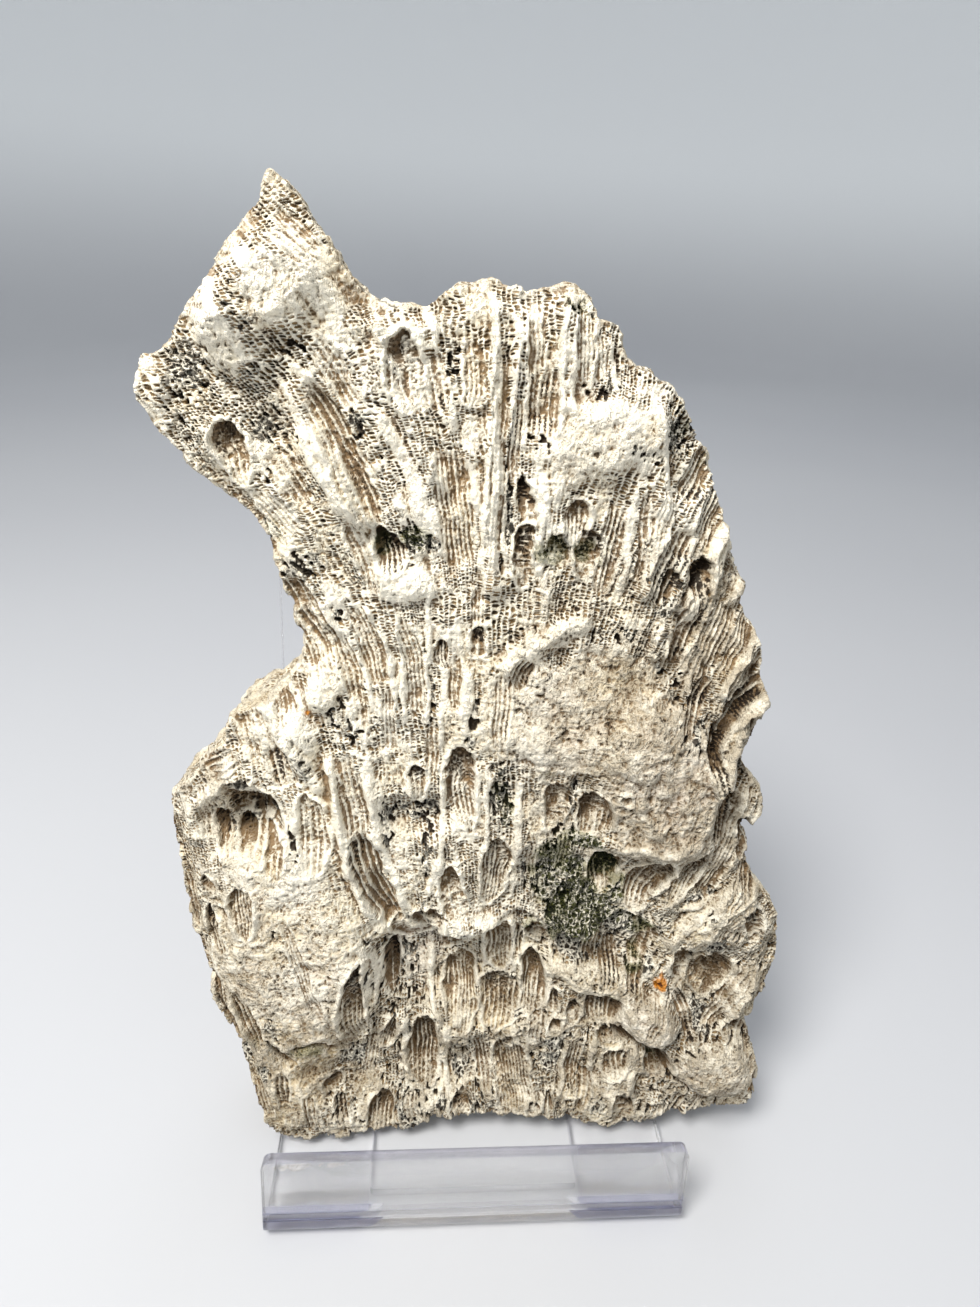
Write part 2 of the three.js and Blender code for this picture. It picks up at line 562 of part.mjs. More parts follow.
function makeStand() {
  const half = sheetThickness / 2;
  const lipUp = new THREE.Vector2(Math.sin(lipLean), Math.cos(lipLean));
  const backUp = new THREE.Vector2(Math.sin(backrestLean), Math.cos(backrestLean));
  const middleHeight = half; // of the shelf

  // the front face of the lip starts at y = 0 on the table
  const lipCorner = new THREE.Vector2((half + middleHeight * lipUp.x) / lipUp.y, middleHeight);
  const backFaceFoot = placeOnSlice(0, 0, 0);
  const gapY = contactGap / backUp.y;
  const atShelf = (middleHeight - backFaceFoot.z) * Math.tan(backrestLean);
  const backCorner = new THREE.Vector2(backFaceFoot.y + atShelf + gapY + half / backUp.y, middleHeight);
  const sideCorners = [
    lipCorner.clone().addScaledVector(lipUp, lipLength),
    lipCorner,
    backCorner,
    backCorner.clone().addScaledVector(backUp, backrestLength),
  ];
  let stand = toSolid(extrudeAcross(bentSheetShape(sideCorners, bendRadius, 5), standWidth));

  // rounded corners on the lip and on the top of the backrest
  const shelfMiddle = (lipCorner.x + backCorner.x) / 2;
  const lipPlate = roundedPlate(standWidth, sideCorners[0].y, cornerRadius, lipCorner.x + bendRadius * 2);
  const backPlate = roundedPlate(standWidth, sideCorners[3].y, cornerRadius, 100);
  backPlate.translate(0, shelfMiddle, 0);
  const shelfBlock = boxBetween(
    new THREE.Vector3(-standWidth / 2, lipCorner.x + bendRadius, -1),
    new THREE.Vector3(standWidth / 2, backCorner.x + bendRadius * 2, bendRadius * 2),
  );
  stand = stand.intersect(toSolid(lipPlate).add(toSolid(backPlate)).add(toSolid(shelfBlock)));

  // the opening runs through shelf and backrest, up to the bend of the rear leg
  const hinge = backCorner.clone().addScaledVector(backUp, windowTop);
  const opening = boxBetween(
    new THREE.Vector3(-windowWidth / 2, lipCorner.x + lipWeb, -10),
    new THREE.Vector3(windowWidth / 2, hinge.x + 30, hinge.y),
  );
  stand = stand.subtract(toSolid(opening));

  // the rear leg, folded back out of the opening and cut off level on the table
  const legDown = new THREE.Vector2(Math.sin(legLean), -Math.cos(legLean));
  const legCorners = [
    hinge.clone().addScaledVector(backUp, 9),
    hinge.clone(),
    hinge.clone().addScaledVector(legDown, hinge.y / Math.cos(legLean) + 5),
  ];
  const leg = toSolid(extrudeAcross(bentSheetShape(legCorners, bendRadius, 5), legWidth));
  const belowTable = toSolid(boxBetween(new THREE.Vector3(-60, 0, -30), new THREE.Vector3(60, 300, 0)));
  stand = stand.add(leg.subtract(belowTable));

  const material = new THREE.MeshStandardMaterial({ color: "#d3d6e8", roughness: 0.05, metalness: 0 });
  material.transparent = true;
  material.opacity = 0.35;
  const mesh = new THREE.Mesh(toGeometry(stand), material);
  mesh.name = "display_stand";
  return mesh;
}

// ---------------------------------------------------------------- the part

const part = new THREE.Group();
part.add(makeCoral(), makeStand());

// the origin lies under the middle of the whole, on the table
const bounds = new THREE.Box3().setFromObject(part);
const middle = bounds.getCenter(new THREE.Vector3());
part.position.set(-middle.x, -middle.y, -bounds.min.z);
part.updateMatrixWorld(true);

export default part;
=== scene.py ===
import math

import bmesh
import bpy
import numpy as np
from mathutils import Matrix, Vector


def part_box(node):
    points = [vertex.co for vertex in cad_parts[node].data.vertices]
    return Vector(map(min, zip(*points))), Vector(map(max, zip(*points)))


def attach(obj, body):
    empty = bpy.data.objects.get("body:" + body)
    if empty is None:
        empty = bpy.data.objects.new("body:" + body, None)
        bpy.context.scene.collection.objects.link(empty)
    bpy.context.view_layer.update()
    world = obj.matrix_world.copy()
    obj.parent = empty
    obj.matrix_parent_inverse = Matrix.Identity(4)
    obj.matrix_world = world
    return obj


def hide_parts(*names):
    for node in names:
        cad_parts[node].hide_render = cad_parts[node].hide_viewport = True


# a weathered slice of fossil coral on a clear easel; lengths are in millimetres until they reach a mesh
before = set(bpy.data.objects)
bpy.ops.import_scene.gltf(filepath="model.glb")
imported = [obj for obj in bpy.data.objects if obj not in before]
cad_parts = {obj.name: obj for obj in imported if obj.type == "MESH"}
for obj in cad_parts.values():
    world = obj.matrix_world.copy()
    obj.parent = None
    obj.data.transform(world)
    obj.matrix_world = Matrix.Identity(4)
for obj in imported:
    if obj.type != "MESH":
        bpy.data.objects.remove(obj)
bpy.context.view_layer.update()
mm = 0.001

standLow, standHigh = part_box("display_stand")
frontBend = 1.017  # the lip's foremost point is this far behind the corner of its two planes
frontY = standLow.y / mm - frontBend
middleX = (standLow.x + standHigh.x) / 2 / mm

view = {
    "place": (-16.42, -109.94, 215.0),  # from the middle of the lip's front, on the table
    "turn": math.radians(5.4),  # to the right
    "tilt": math.radians(26.7),  # down
    "roll": math.radians(3.8),
    "pixelFocus": 800.0,
    "pixelHeight": 1307,
    "sensor": 36,
    "clip": (0.01, 20),  # metres
}


def addObject(name, data):
    made = bpy.data.objects.new(name, data)
    bpy.context.collection.objects.link(made)
    return made


def addCamera():
    turn, tilt, roll = view["turn"], view["tilt"], view["roll"]
    right = Vector((math.cos(turn), -math.sin(turn), 0))
    ahead = Vector((math.sin(turn) * math.cos(tilt), math.cos(turn) * math.cos(tilt), -math.sin(tilt)))
    up = right.cross(ahead)
    across = right * math.cos(roll) + up * math.sin(roll)
    upward = up * math.cos(roll) - right * math.sin(roll)
    data = bpy.data.cameras.new("camera")
    data.sensor_width = view["sensor"]
    data.lens = view["pixelFocus"] / view["pixelHeight"] * view["sensor"]
    data.clip_start, data.clip_end = view["clip"]
    camera = addObject("camera", data)
    x, y, z = view["place"]
    place = Vector((x + middleX, y + frontY, z)) * mm
    turned = Matrix((across, upward, -ahead)).transposed().to_4x4()
    camera.matrix_world = Matrix.Translation(place) @ turned
    bpy.context.scene.camera = camera


addCamera()
print("camera")

sheet = {
    "thickness": 3.0,
    "width": 102.0,
    "bendRadius": 3.0,  # at the middle of the sheet
    "lipLength": 22.0,
    "lipLean": math.radians(11),
    "backrestLean": math.radians(8.5),
    "backrestLength": 162.0,
    "windowWidth": 53.0,  # the opening that the rear leg was cut from
    "windowTop": 138.0,
    "lipWeb": 8.0,  # left in front of the opening
    "legWidth": 50.0,
    "legLean": math.radians(27),
    "legEnd": (20.0, 6.0),  # the leg's last corners are farther behind the shelf, and lower, than this
    "cornerRadius": 2.0,
    "cornerSteps": 6,
    "bendSteps": 14,
    "polishedEdge": 0.3,
}

slab = {
    "thickness": 25.0,
    "faceSetback": 25.0,  # lip front to the foot of the face
    "gap": 0.3,  # to the shelf and the backrest
    "levelBase": 26.0,  # above this the levels are square to the slice, below it they turn level
    "reliefScale": 1.25,
    "rimDrop": 2.4,
    "rimWidth": 5.0,
    "rimInset": 0.35,
    "spacing": 0.25,  # of the face's mesh
    "low": (-79.0, -1.5),  # the corners of the face's grid
    "high": (79.5, 228.0),
    "coarseSpacing": 1.0,  # of the grid for the distance to the edge and the growth
    "coarseHigh": (81, 227),
    "outlineStep": 0.8,
    "outlineJag": 0.5,
    "cuts": (40.5, 75, 112, 161.5),  # the face is meshed in level bands
    "sideRings": 18,
}

noiseCells = 256  # a noise repeats after so many cells


def smoothStep(low, high, value):
    t = np.clip((value - low) / (high - low), 0, 1)
    return t * t * (3 - 2 * t)


def blurRows(values, radius):
    # a running mean along the first axis, repeated for a soft kernel
    for _ in range(3):
        padded = np.pad(values, ((radius + 1, radius), (0, 0)), mode="edge")
        total = np.cumsum(padded, axis=0)
        values = (total[2 * radius + 1:] - total[:-2 * radius - 1]) / (2 * radius + 1)
    return values


def blur(values, radius):
    return blurRows(blurRows(values, radius).T, radius).T


def noise(x, y, cell, seed):
    # smooth value noise in -1..1, features about one cell across
    table = np.random.RandomState(seed).uniform(-1, 1, (noiseCells, noiseCells))
    i, j = np.floor(x / cell).astype(int), np.floor(y / cell).astype(int)
    a, b = smoothStep(0, 1, x / cell - i), smoothStep(0, 1, y / cell - j)
    left, right, under, over = i % noiseCells, (i + 1) % noiseCells, j % noiseCells, (j + 1) % noiseCells
    low = table[left, under] * (1 - a) + table[right, under] * a
    high = table[left, over] * (1 - a) + table[right, over] * a
    return low * (1 - b) + high * b


def fractal(x, y, cell, seed):
    return sum(noise(x, y, cell / 2 ** k, seed + k) / 2 ** k for k in range(3)) / 1.75


def waves(u, v, base=0):
    # the noise of one feature, its seeds counted from its own base
    return lambda cell, seed: noise(u, v, cell, base + seed)


# in the plane of the face, u to the right and v up from the shelf; clockwise from the horn's tip
outlineCorners = [
    (-46.6, 225.4), (-42.8, 224.3), (-39.3, 220.6), (-36.2, 215.2), (-31.5, 209.7), (-26, 204.8),
    (-22, 204.2), (-17.5, 204.8), (-11.5, 207.8), (-4.2, 209.6), (4, 209), (13, 208.8), (17, 203.7),
    (20.5, 202.6), (23.3, 196.3), (29, 194), (33.5, 191.5), (37.5, 186.7), (43.5, 180), (45.2, 174),
    (48.2, 167), (50.5, 160), (55, 151.6), (56, 145.5), (60, 139.5), (60.7, 133), (61.7, 126), (61.8, 119),
    (60.2, 112.5), (62.5, 104.5), (67, 99.5), (67.6, 95), (64.6, 90), (66, 83), (70, 74.5), (75.5, 67.2),
    (76.8, 60), (77, 51), (75.6, 44), (72.7, 32), (75.2, 23.5), (77, 15.5), (75.5, 9), (71, 6.3), (63, 5.2),
    (54, 4), (45, 1.6), (38, 0.2), (31, 0.6), (24, 2), (13, 3.4), (2, 3.8), (-7, 3.1), (-15, 1.6), (-22, 1.2),
    (-29, 0.2), (-38, 0), (-48, 0.2), (-53, 4.2), (-57, 12.5), (-60, 22), (-62, 31), (-67.2, 40), (-67, 48),
    (-70.5, 58), (-72.6, 68), (-73.8, 78), (-75.6, 87.5), (-73.4, 97.5), (-67.5, 104), (-64, 109.3),
    (-60.3, 112.5), (-59, 117), (-53.3, 121), (-46, 126.8), (-43, 130.5), (-43.2, 137.5), (-45, 143.5),
    (-47.6, 151), (-50, 160.5), (-56.5, 165.8), (-62, 170.5), (-69, 178.3), (-72.8, 186), (-71.7, 191.8),
    (-67.3, 194.5), (-63.5, 200.5), (-57.3, 209.8), (-51.8, 216.4), (-48.8, 221.2),
]

# centre u, v, half length, half width, turn in degrees, rise
lumps = [
    (-46, 206, 14, 8, 35, 3.2), (-54, 196.5, 10, 5.5, 122, 3), (-70, 187, 5, 4, 90, 1.2),
    (-36, 172, 12, 4, 120, 2), (18, 181, 14, 8, 12, 2.6), (-21, 150, 7, 4, 0, 1.6),
    (26, 136.6, 9, 5.5, 12, .8), (15, 119, 24, 13, 0, 2), (-43, 114, 7, 4, 105, 2.2),
    (-37, 126.5, 6, 4, 70, 2), (40, 104, 21, 15, 105, 4.6), (-46, 58, 36, 20, 95, 3.8),
    (-30, 96, 20, 5, 100, 1.6), (44, 36, 9, 6, -38, 4.2), (30, 47, 12, 4, -15, 3), (64, 21, 14, 10, -20, 5),
    (61, 69, 13, 5, 50, 2.8), (71, 42, 8, 6, 90, 1.6), (36, 11, 10, 6, 70, 2.2), (-48, 12, 12, 9, 100, 1.8),
    (-57, 92, 9, 7, 10, -5.5), (-52, 96, 6, 4, 0, -2), (-17, 95, 9, 5, 0, -2), (20, 73, 20, 12, 0, -3.4),
    (-15, 49, 15, 13, 90, -3.8), (6, 46, 17, 14, 90, -2.8), (28, 56, 15, 6, 0, -2.4),
    (-20, 20, 22, 14, 0, -3.2), (10, 15, 22, 13, 0, -2.8), (58, 49, 9, 8, 60, -2.6),
    (38, 178, 9, 7, 120, -2.2), (-47, 184, 9, 7, 120, -1.6), (57, 97, 9, 4, 90, -2),
]

# coral cups cut lengthwise: head u, v, foot u, v, width, depth, septa, painted shade in the hollow,
# how sharp the head and the foot are
cups = [
    # left of the crown
    (-22, 199.5, -18.2, 184.5, 7.2, 2.4, 3, .45, .4, .35), (-56, 181, -52.5, 169.5, 5.5, 3.2, 3, .5, .35, .6),
    (-25.6, 161, -22.5, 152.5, 6.4, 4.4, 4, 1, .3, .3), (-8, 197.5, -7.6, 186.5, 4.4, 1.1, 3, .2, .12, .15),
    # crown
    (3.2, 173.5, 4.4, 161, 3.6, 2.6, 1, .8, .5, .3), (4.8, 163, 4.6, 150.5, 4.2, 2.6, 0, .6, .25, .3),
    (11, 161.5, 11.8, 154.5, 6.4, 2.4, 0, .5, .3, .3), (18.6, 161.8, 17.4, 152.5, 6.6, 2.6, 0, .5, .25, .4),
    (14.2, 169, 14.6, 159, 5.2, 2.0, 4, .45, .4, .3), (43.6, 157, 43.4, 144.5, 5.4, 3.2, 2, .8, .35, .6),
    # flanks
    (58.6, 122.5, 57.2, 115.5, 4.2, 2.2, 3, .6, .5, .5), (62.6, 94, 62.8, 82.5, 4.2, 4.2, 1, 1, .5, .7),
    (65.8, 81, 64.6, 72.5, 3.6, 2.2, 2, .6, .7, .6), (66.3, 70.5, 70.2, 59.5, 5, 3.4, 0, .6, .5, .5),
    (-12.4, 137.5, -11.2, 131, 3.6, 1.6, 3, .8, .4, .4), (-4.6, 140.2, -4.2, 134, 3, 1.4, 1, .9, .4, .4),
    (-46.6, 126.5, -45, 117.5, 4.6, 1.4, 3, .3, .4, .4),
    # left edge, with the cave and the horseshoe in it
    (-62.8, 93.5, -59.8, 83.5, 4.6, 2.4, 2, .7, .4, .5), (-56, 103, -55.5, 82, 13.5, 3.6, 0, .6, .3, .5),
    (-57, 91.5, -56, 84, 5, 5.4, 0, 1, .4, .4), (-51.4, 99, -50.4, 92, 4.2, 4.2, 0, .7, .3, .4),
    (-50.2, 91, -49, 80.5, 4.4, 3.4, 2, .2, .3, .2), (-57.6, 76.5, -55.4, 63.5, 5.8, 2.2, 5, .35, .25, .6),
    (-65.2, 71, -62.2, 58, 3.4, 2.4, 2, .65, .8, .35), (-41.5, 100.5, -39.5, 82, 6.5, 1.2, 3, .25, .3, .5),
    (-67, 78.2, -64, 74.5, 3, 1.6, 0, .6, .5, .5),
    # middle
    (-17.4, 107.5, -16.8, 98.5, 4, 2, 2, .6, .4, .5), (-7.6, 111.5, -4.4, 90.5, 6.6, 2.8, 5, .5, .25, .6),
    (-8.6, 82, -4.8, 65.5, 6.6, 3.2, 2, .4, .7, .45), (2.4, 88.5, 1.2, 70.5, 6.8, 2.2, 5, .5, .25, .35),
    (15.4, 103.5, 15, 91.5, 5.8, 2.2, 0, .35, .3, .5), (24.2, 101.5, 24.6, 90.5, 7.6, 3.4, 5, .4, .3, .25),
    (29, 85, 29.2, 71.5, 8, 3.2, 4, .7, .25, .5), (43.4, 84.5, 37, 67.5, 8.6, 3.0, 5, .4, .4, .8),
    (53.2, 85, 45.6, 71.5, 5.2, 1.8, 4, .5, .5, .7), (30.5, 102.6, 30.6, 100.6, 2.2, 1.4, 0, .9, .5, .5),
    # below the ledge
    (-12.4, 68.5, -16, 58, 8.6, 3.4, 0, .5, .3, .5), (-20.6, 66, -17.5, 56.5, 5.5, 1.6, 0, .35, .4, .4),
    (-6.2, 62, -6, 53.5, 5.4, 2.4, 2, .55, .35, .5), (5.2, 63, 5.6, 46, 7, 2.6, 4, .3, .25, .4),
    (13, 62.5, 15.5, 56, 5, 3.0, 0, .95, .4, .5), (-21.8, 57, -21.6, 39.5, 4.2, 3.4, 1, .8, .5, .6),
    (-30.2, 56.5, -30.6, 30.5, 6.4, 3.2, 4, .6, .7, .25), (-4.8, 51, -4.0, 30, 8, 2.2, 6, .22, .3, .5),
    (13.4, 52.8, 13.4, 35.5, 6.8, 3.6, 5, .45, .45, .4), (5.6, 45, 5.4, 30.5, 10.8, 2.4, 6, .5, .18, .4),
    (51.4, 57.5, 53, 47, 5.6, 3.8, 0, .7, .5, .6), (60, 54.5, 59.6, 41.5, 10.5, 2.6, 0, .5, .35, .7),
    (33.4, 42.2, 32, 32.5, 8.4, 2.8, 6, .6, .22, .5), (35.5, 33, 36.4, 26.5, 9.4, 2.6, 0, .55, .3, .5),
    (20.8, 35, 20.8, 30.5, 3.4, 2.8, 0, .8, .4, .4), (19.4, 42.4, 19.4, 36.6, 3, 1.4, 1, .7, .4, .4),
    (25.3, 40.4, 25.5, 33, 3.4, 1.6, 0, .6, .4, .5), (67.2, 37.4, 67, 31, 4.4, 4.2, 0, .95, .4, .4),
    # foot
    (-21.5, 34.5, -23.6, 25.5, 4.2, 2.4, 4, .6, .7, .4), (-12.6, 34.5, -12.8, 12.8, 8.4, 4.8, 5, .5, .5, .4),
    (7.4, 27, 11.8, 4, 9.4, 1.9, 8, .25, .22, .15), (9.3, 28.5, 9.3, 23, 3, 1.8, 0, .6, .5, .5),
    (-24.4, 12, -25, -0.5, 7.6, 4.2, 5, .6, .45, .2), (-37, 17.8, -37.4, 13.6, 4.6, 2.2, 0, .6, .4, .4),
    (-34.8, 12.5, -34, 4, 3.6, 2.0, 2, .85, .4, .4), (38, 25.6, 37, 17.5, 7, 2.2, 3, .7, .3, .5),
    (47.5, 27, 49, 16.5, 7.4, 4.2, 0, .7, .5, .6), (39.8, 12.2, 39.4, 3, 6.4, 2.8, 0, .55, .3, .3),
    (20, 11, 20.2, 5.5, 3, 1.8, 1, .85, .35, .35), (16, 8.5, 16, 4.2, 3, 1.8, 0, .8, .35, .35),
    (-3, 12, -3, 3.5, 6, 2.4, 0, .65, .4, .4), (74.6, 20, 75, 11, 1.8, 1.4, 0, .6, .5, .5),
]

# bundles of fine parallel septa: path (u and v of each point in turn), half width, lines,
# depth of the trough, painted shade between the lines
bundles = [
    # horn and left shoulder
    ((-45, 218.5, -37.5, 212), 2.0, 4, .5, .5), ((-46.5, 214.5, -37, 209.5), 1.4, 2, .4, .5),
    ((-40, 188.5, -35, 180, -30, 169, -25.5, 159), 3.0, 4, 1.6, .5),
    ((-50, 167.5, -42.5, 160), 2.2, 4, .3, .4), ((-38.5, 197, -30, 184), 2.6, 4, .4, .35),
    ((-12, 178, -10.5, 166, -8.5, 153), 3.6, 7, 1.2, .4), ((-32, 163, -28, 153, -27, 147), 2.2, 3, .8, .5),
    ((-16.5, 196, -14, 184), 2.4, 3, .8, .7), ((-47, 176, -41, 166), 2.4, 3, .5, .45),
    ((-33, 178, -27, 170), 2.0, 3, .4, .3),
    # crown
    ((4, 206, 4.4, 192), 1.7, 3, .4, .35), ((6.5, 194, 6.3, 180), 3.0, 5, .7, .85),
    ((13.6, 205, 13.8, 192), 1.8, 4, .4, .3), ((1.2, 188, 1, 170), 1.2, 2, .5, .7),
    ((-2.4, 196, -2.2, 152), 1.6, 3, .3, .3), ((17, 200, 17.5, 192), 1.5, 3, .4, .5),
    ((24, 168, 22.3, 158, 20.5, 149), 2.4, 4, 1.1, .55), ((29.5, 172, 30, 160, 29, 150), 1.6, 2, .5, .6),
    # right flank
    ((43.5, 180, 40.5, 174, 37, 169.5), 3.0, 4, 1.4, 1), ((47, 173, 44, 166, 42, 161), 2.4, 4, 1.2, .9),
    ((38.5, 163, 35.5, 155, 32.5, 147), 3.0, 4, 1.6, .75), ((37.2, 154, 35, 148), 1.5, 1, 2.2, 1),
    ((34, 172, 32.5, 162, 32, 152), 1.7, 3, .5, .5), ((44.5, 151, 40.5, 141, 38.5, 133), 2.4, 3, 1.3, .85),
    ((51, 148, 47.5, 139, 44.5, 130), 3.2, 5, .9, .4), ((47.8, 130.5, 44.8, 123, 43.8, 117), 2.0, 2, 1.2, 1),
    ((57.5, 146, 54, 138, 51.5, 133), 2.4, 4, .6, .45),
    ((61, 137.5, 55.5, 130.5, 51.8, 122.5), 2.4, 3, 1.3, .7),
    ((60.8, 129.5, 54.5, 124, 51.3, 117, 51, 109), 2.0, 1, 2.8, 1),
    ((49, 120, 50.5, 112, 54, 103), 1.8, 2, .9, .9), ((57.5, 106, 56, 98, 55.5, 88), 2.2, 3, 1.0, .85),
    ((62, 103, 60.5, 95, 58, 86), 2.4, 4, .8, .6), ((60, 90, 56, 80, 53, 74), 3.0, 5, .8, .4),
    ((66, 88, 64, 78, 60, 70), 2.0, 3, .8, .5), ((58, 60, 61, 66, 66, 72), 1.8, 3, .5, .4),
    ((60, 33, 66, 44, 69, 52), 2.4, 3, .6, .4), ((50, 45, 54, 38, 56, 30), 1.6, 2, .7, .7),
    ((72.5, 38, 74, 46), 1.4, 2, .4, .4),
    # waist
    ((-44.5, 150, -40, 142, -35, 135), 2.6, 2, 1.6, .8),
    ((-43, 143, -39.5, 136, -36.5, 128.5), 2.6, 5, .7, .3),
    ((-31, 144.5, -27.5, 136, -25.2, 127), 2.4, 5, 1.0, .4),
    ((-20.8, 141.5, -18, 132, -17.2, 120), 2.0, 4, .8, .4),
    ((-35, 139, -31, 128, -29.5, 118), 1.8, 3, .6, .5), ((-24, 126, -23.2, 112), 1.5, 3, .5, .5),
    ((-9.5, 134, -9, 122), 1.4, 2, .4, .5), ((-14, 118, -13.6, 104), 1.3, 2, .5, .7),
    ((1.5, 131, 1.2, 112), 1.8, 3, .5, .8), ((7, 134, 4.8, 130.5, 4.2, 127), 2.4, 4, 1.0, .7),
    ((-5, 150, -4.5, 137), 1.6, 3, .4, .4),
    # left edge and lower left
    ((-56, 119, -53, 109), 2.6, 4, .6, .4), ((-47.5, 112, -45, 103), 3.0, 3, .8, .8),
    ((-64, 104, -57, 109), 3.0, 4, .6, .6), ((-66, 101, -64, 88), 2.0, 3, .6, .5),
    ((-65.5, 50, -63, 40, -60, 31), 2.0, 3, 1.5, .65), ((-59.8, 47, -57, 39, -54, 31), 2.0, 3, 1.9, .6),
    ((-47.4, 69.5, -42.6, 52, -37.3, 37.5), 1.3, 3, .45, .55),
    ((-33.8, 110, -31.2, 99, -30, 88), 2.8, 4, 1.3, .5), ((-30.2, 90, -27, 77.5, -21.5, 66), 3.3, 4, 3.4, .8),
    ((-56, 18, -53, 8), 1.8, 3, .6, .5), ((-71, 76, -69, 62), 1.6, 2, .5, .5),
    ((-50, 22, -49, 12), 1.6, 2, .8, .5),
    # middle and foot
    ((33.5, 56, 33, 46), 2.6, 4, .8, .85), ((41.2, 59, 39.4, 43), 2.2, 2, .9, .95),
    ((9.5, 61, 10, 50), 1.3, 2, .9, .9), ((16, 36, 10, 33.5), 2.4, 3, .5, .8),
    ((29, 60, 28, 52), 2.4, 4, .6, .85), ((40, 68, 42.5, 58), 2.6, 3, .7, .8),
    ((47, 42, 44, 33), 1.6, 2, .4, .4), ((1, 27, 4, 10), 2.0, 3, .7, .5),
    ((16, 38, 15.5, 26), 1.8, 3, .6, .5), ((26, 28, 26, 14), 1.8, 3, .5, .5),
    ((53, 4.5, 57, 12), 2.4, 3, 1.2, .9), ((58.5, 5, 63, 12), 2.4, 3, 1.0, .8),
    ((50, 3.5, 51.5, 9), 1.6, 2, .9, .8), ((30, 18, 29, 6), 1.6, 2, .5, .5),
    ((-17, 12, -16, 3), 2.0, 3, .6, .6), ((-43, 14, -42, 3), 1.4, 2, .5, .4),
    ((-26, 30, -28, 18), 1.8, 3, .5, .5), ((11, 88, 11.5, 76), 1.6, 3, .4, .8),
    ((18, 90, 18.3, 78), 1.6, 3, .4, .8),
]

# crisp standing walls between the tubes: path, width, rise
walls = [
    ((-43.5, 193, -37.5, 187, -31, 176.5, -28.5, 170), 2.2, 1.1), ((-45, 190, -40, 178, -34, 164), 1.8, .7),
    ((-26, 184, -20, 173, -16, 160), 3.4, 1.0), ((-17.5, 204, -13, 190, -11.5, 181), 1.8, .9),
    ((-3.8, 204, -3.8, 178, -4.4, 152), 1.6, 1.1), ((.3, 203, -.2, 176, .2, 152), 1.3, .9),
    ((2.6, 204, 2.9, 178), 1.1, .7), ((9.6, 205, 9.8, 182), 1.4, .9), ((11.6, 204, 11.9, 186), 1.1, .7),
    ((16, 203, 15.6, 190), 1.3, .7), ((19.5, 200, 20.5, 190), 1.2, .7), ((7.4, 174, 7.6, 152), 1.6, 1.0),
    ((26.5, 172, 26.5, 160, 25, 148), 1.8, .9), ((29.5, 188, 33, 176, 34.5, 166, 35, 158), 1.8, 1.0),
    ((50, 165, 45.5, 157.5, 41.5, 149, 38.5, 140, 37, 133), 3.2, 1.9),
    ((55.5, 152, 49.5, 144.5, 45, 136, 42.5, 127), 2.6, 1.6), ((42, 168, 40, 160, 38, 154), 1.6, .8),
    ((59.8, 141, 54.5, 134, 50.5, 126), 2.0, 1.2), ((61.8, 127, 57.5, 119, 54.5, 111, 53, 104), 4.2, 2.2),
    ((43, 124, 47.5, 117, 50, 110, 54, 100), 1.6, 1.0), ((63, 104, 59.5, 94, 56, 84), 1.6, 1.0),
    ((66, 100, 64.8, 92), 2.0, .8), ((-41, 149, -34.5, 139, -32, 130), 1.8, .9),
    ((-32.5, 147, -28.5, 142), 1.6, .8), ((-28.8, 144.5, -24, 135, -22, 122), 1.8, 1.1),
    ((-33.2, 140, -29, 131, -26.8, 121), 1.3, .7), ((-15.4, 150, -15.6, 136, -15, 118), 1.4, .9),
    ((-22, 143, -20.6, 130, -20, 118), 1.2, .7), ((-11.2, 141, -11.8, 128, -11.6, 112), 1.4, .8),
    ((-7, 132, -6.4, 116), 2.6, 1.0), ((-49, 123, -44.5, 118, -40.5, 112), 2.6, 1.3),
    ((-37, 111, -34.8, 98, -33.4, 84, -27, 68), 2.2, 1.3), ((-28, 108, -27, 96, -24, 84, -19, 70), 2.2, 1.0),
    ((-11.5, 108, -10.6, 94, -11.4, 80), 1.6, .9), ((-1.2, 108, -.6, 92, -.8, 74), 1.6, .9),
    ((6.6, 104, 7, 88, 7.2, 70), 1.6, .8), ((-12.5, 84, -13, 74), 1.4, .7),
    ((58, 73, 52, 66, 47, 58), 3.6, 1.0), ((49, 68, 60, 74, 66, 82), 2.4, 1.0),
    ((30, 87, 36, 88.5, 41, 86.5, 46, 89.5), 1.6, .5), ((-66.5, 56, -62, 44, -57, 33), 1.6, .9),
    ((-26.5, 57, -26, 40), 1.6, .8), ((-12.5, 56, -12, 40, -9, 32), 1.8, .9), ((1.2, 60, 1.4, 46), 1.3, .9),
    ((8.6, 62, 8.8, 46), 1.3, .9), ((19, 62, 18.6, 48, 18.8, 38), 1.6, .8),
    ((24, 45, 37, 41, 40, 36), 2.0, 1.0), ((-18.5, 34, -18.3, 20), 1.6, .9),
    ((-8, 33, -7.5, 18, -6, 8), 1.8, .9), ((13.5, 26, 15, 8), 1.4, .8), ((24, 26, 23, 8), 1.8, .8),
    ((31, 30, 30.5, 12), 2.0, .9), ((42.5, 28, 42, 8), 2.4, 1.0), ((49, 3, 54, 9, 58, 15), 1.3, 1.2),
    ((55, 3, 60, 9), 1.2, 1.0),
]

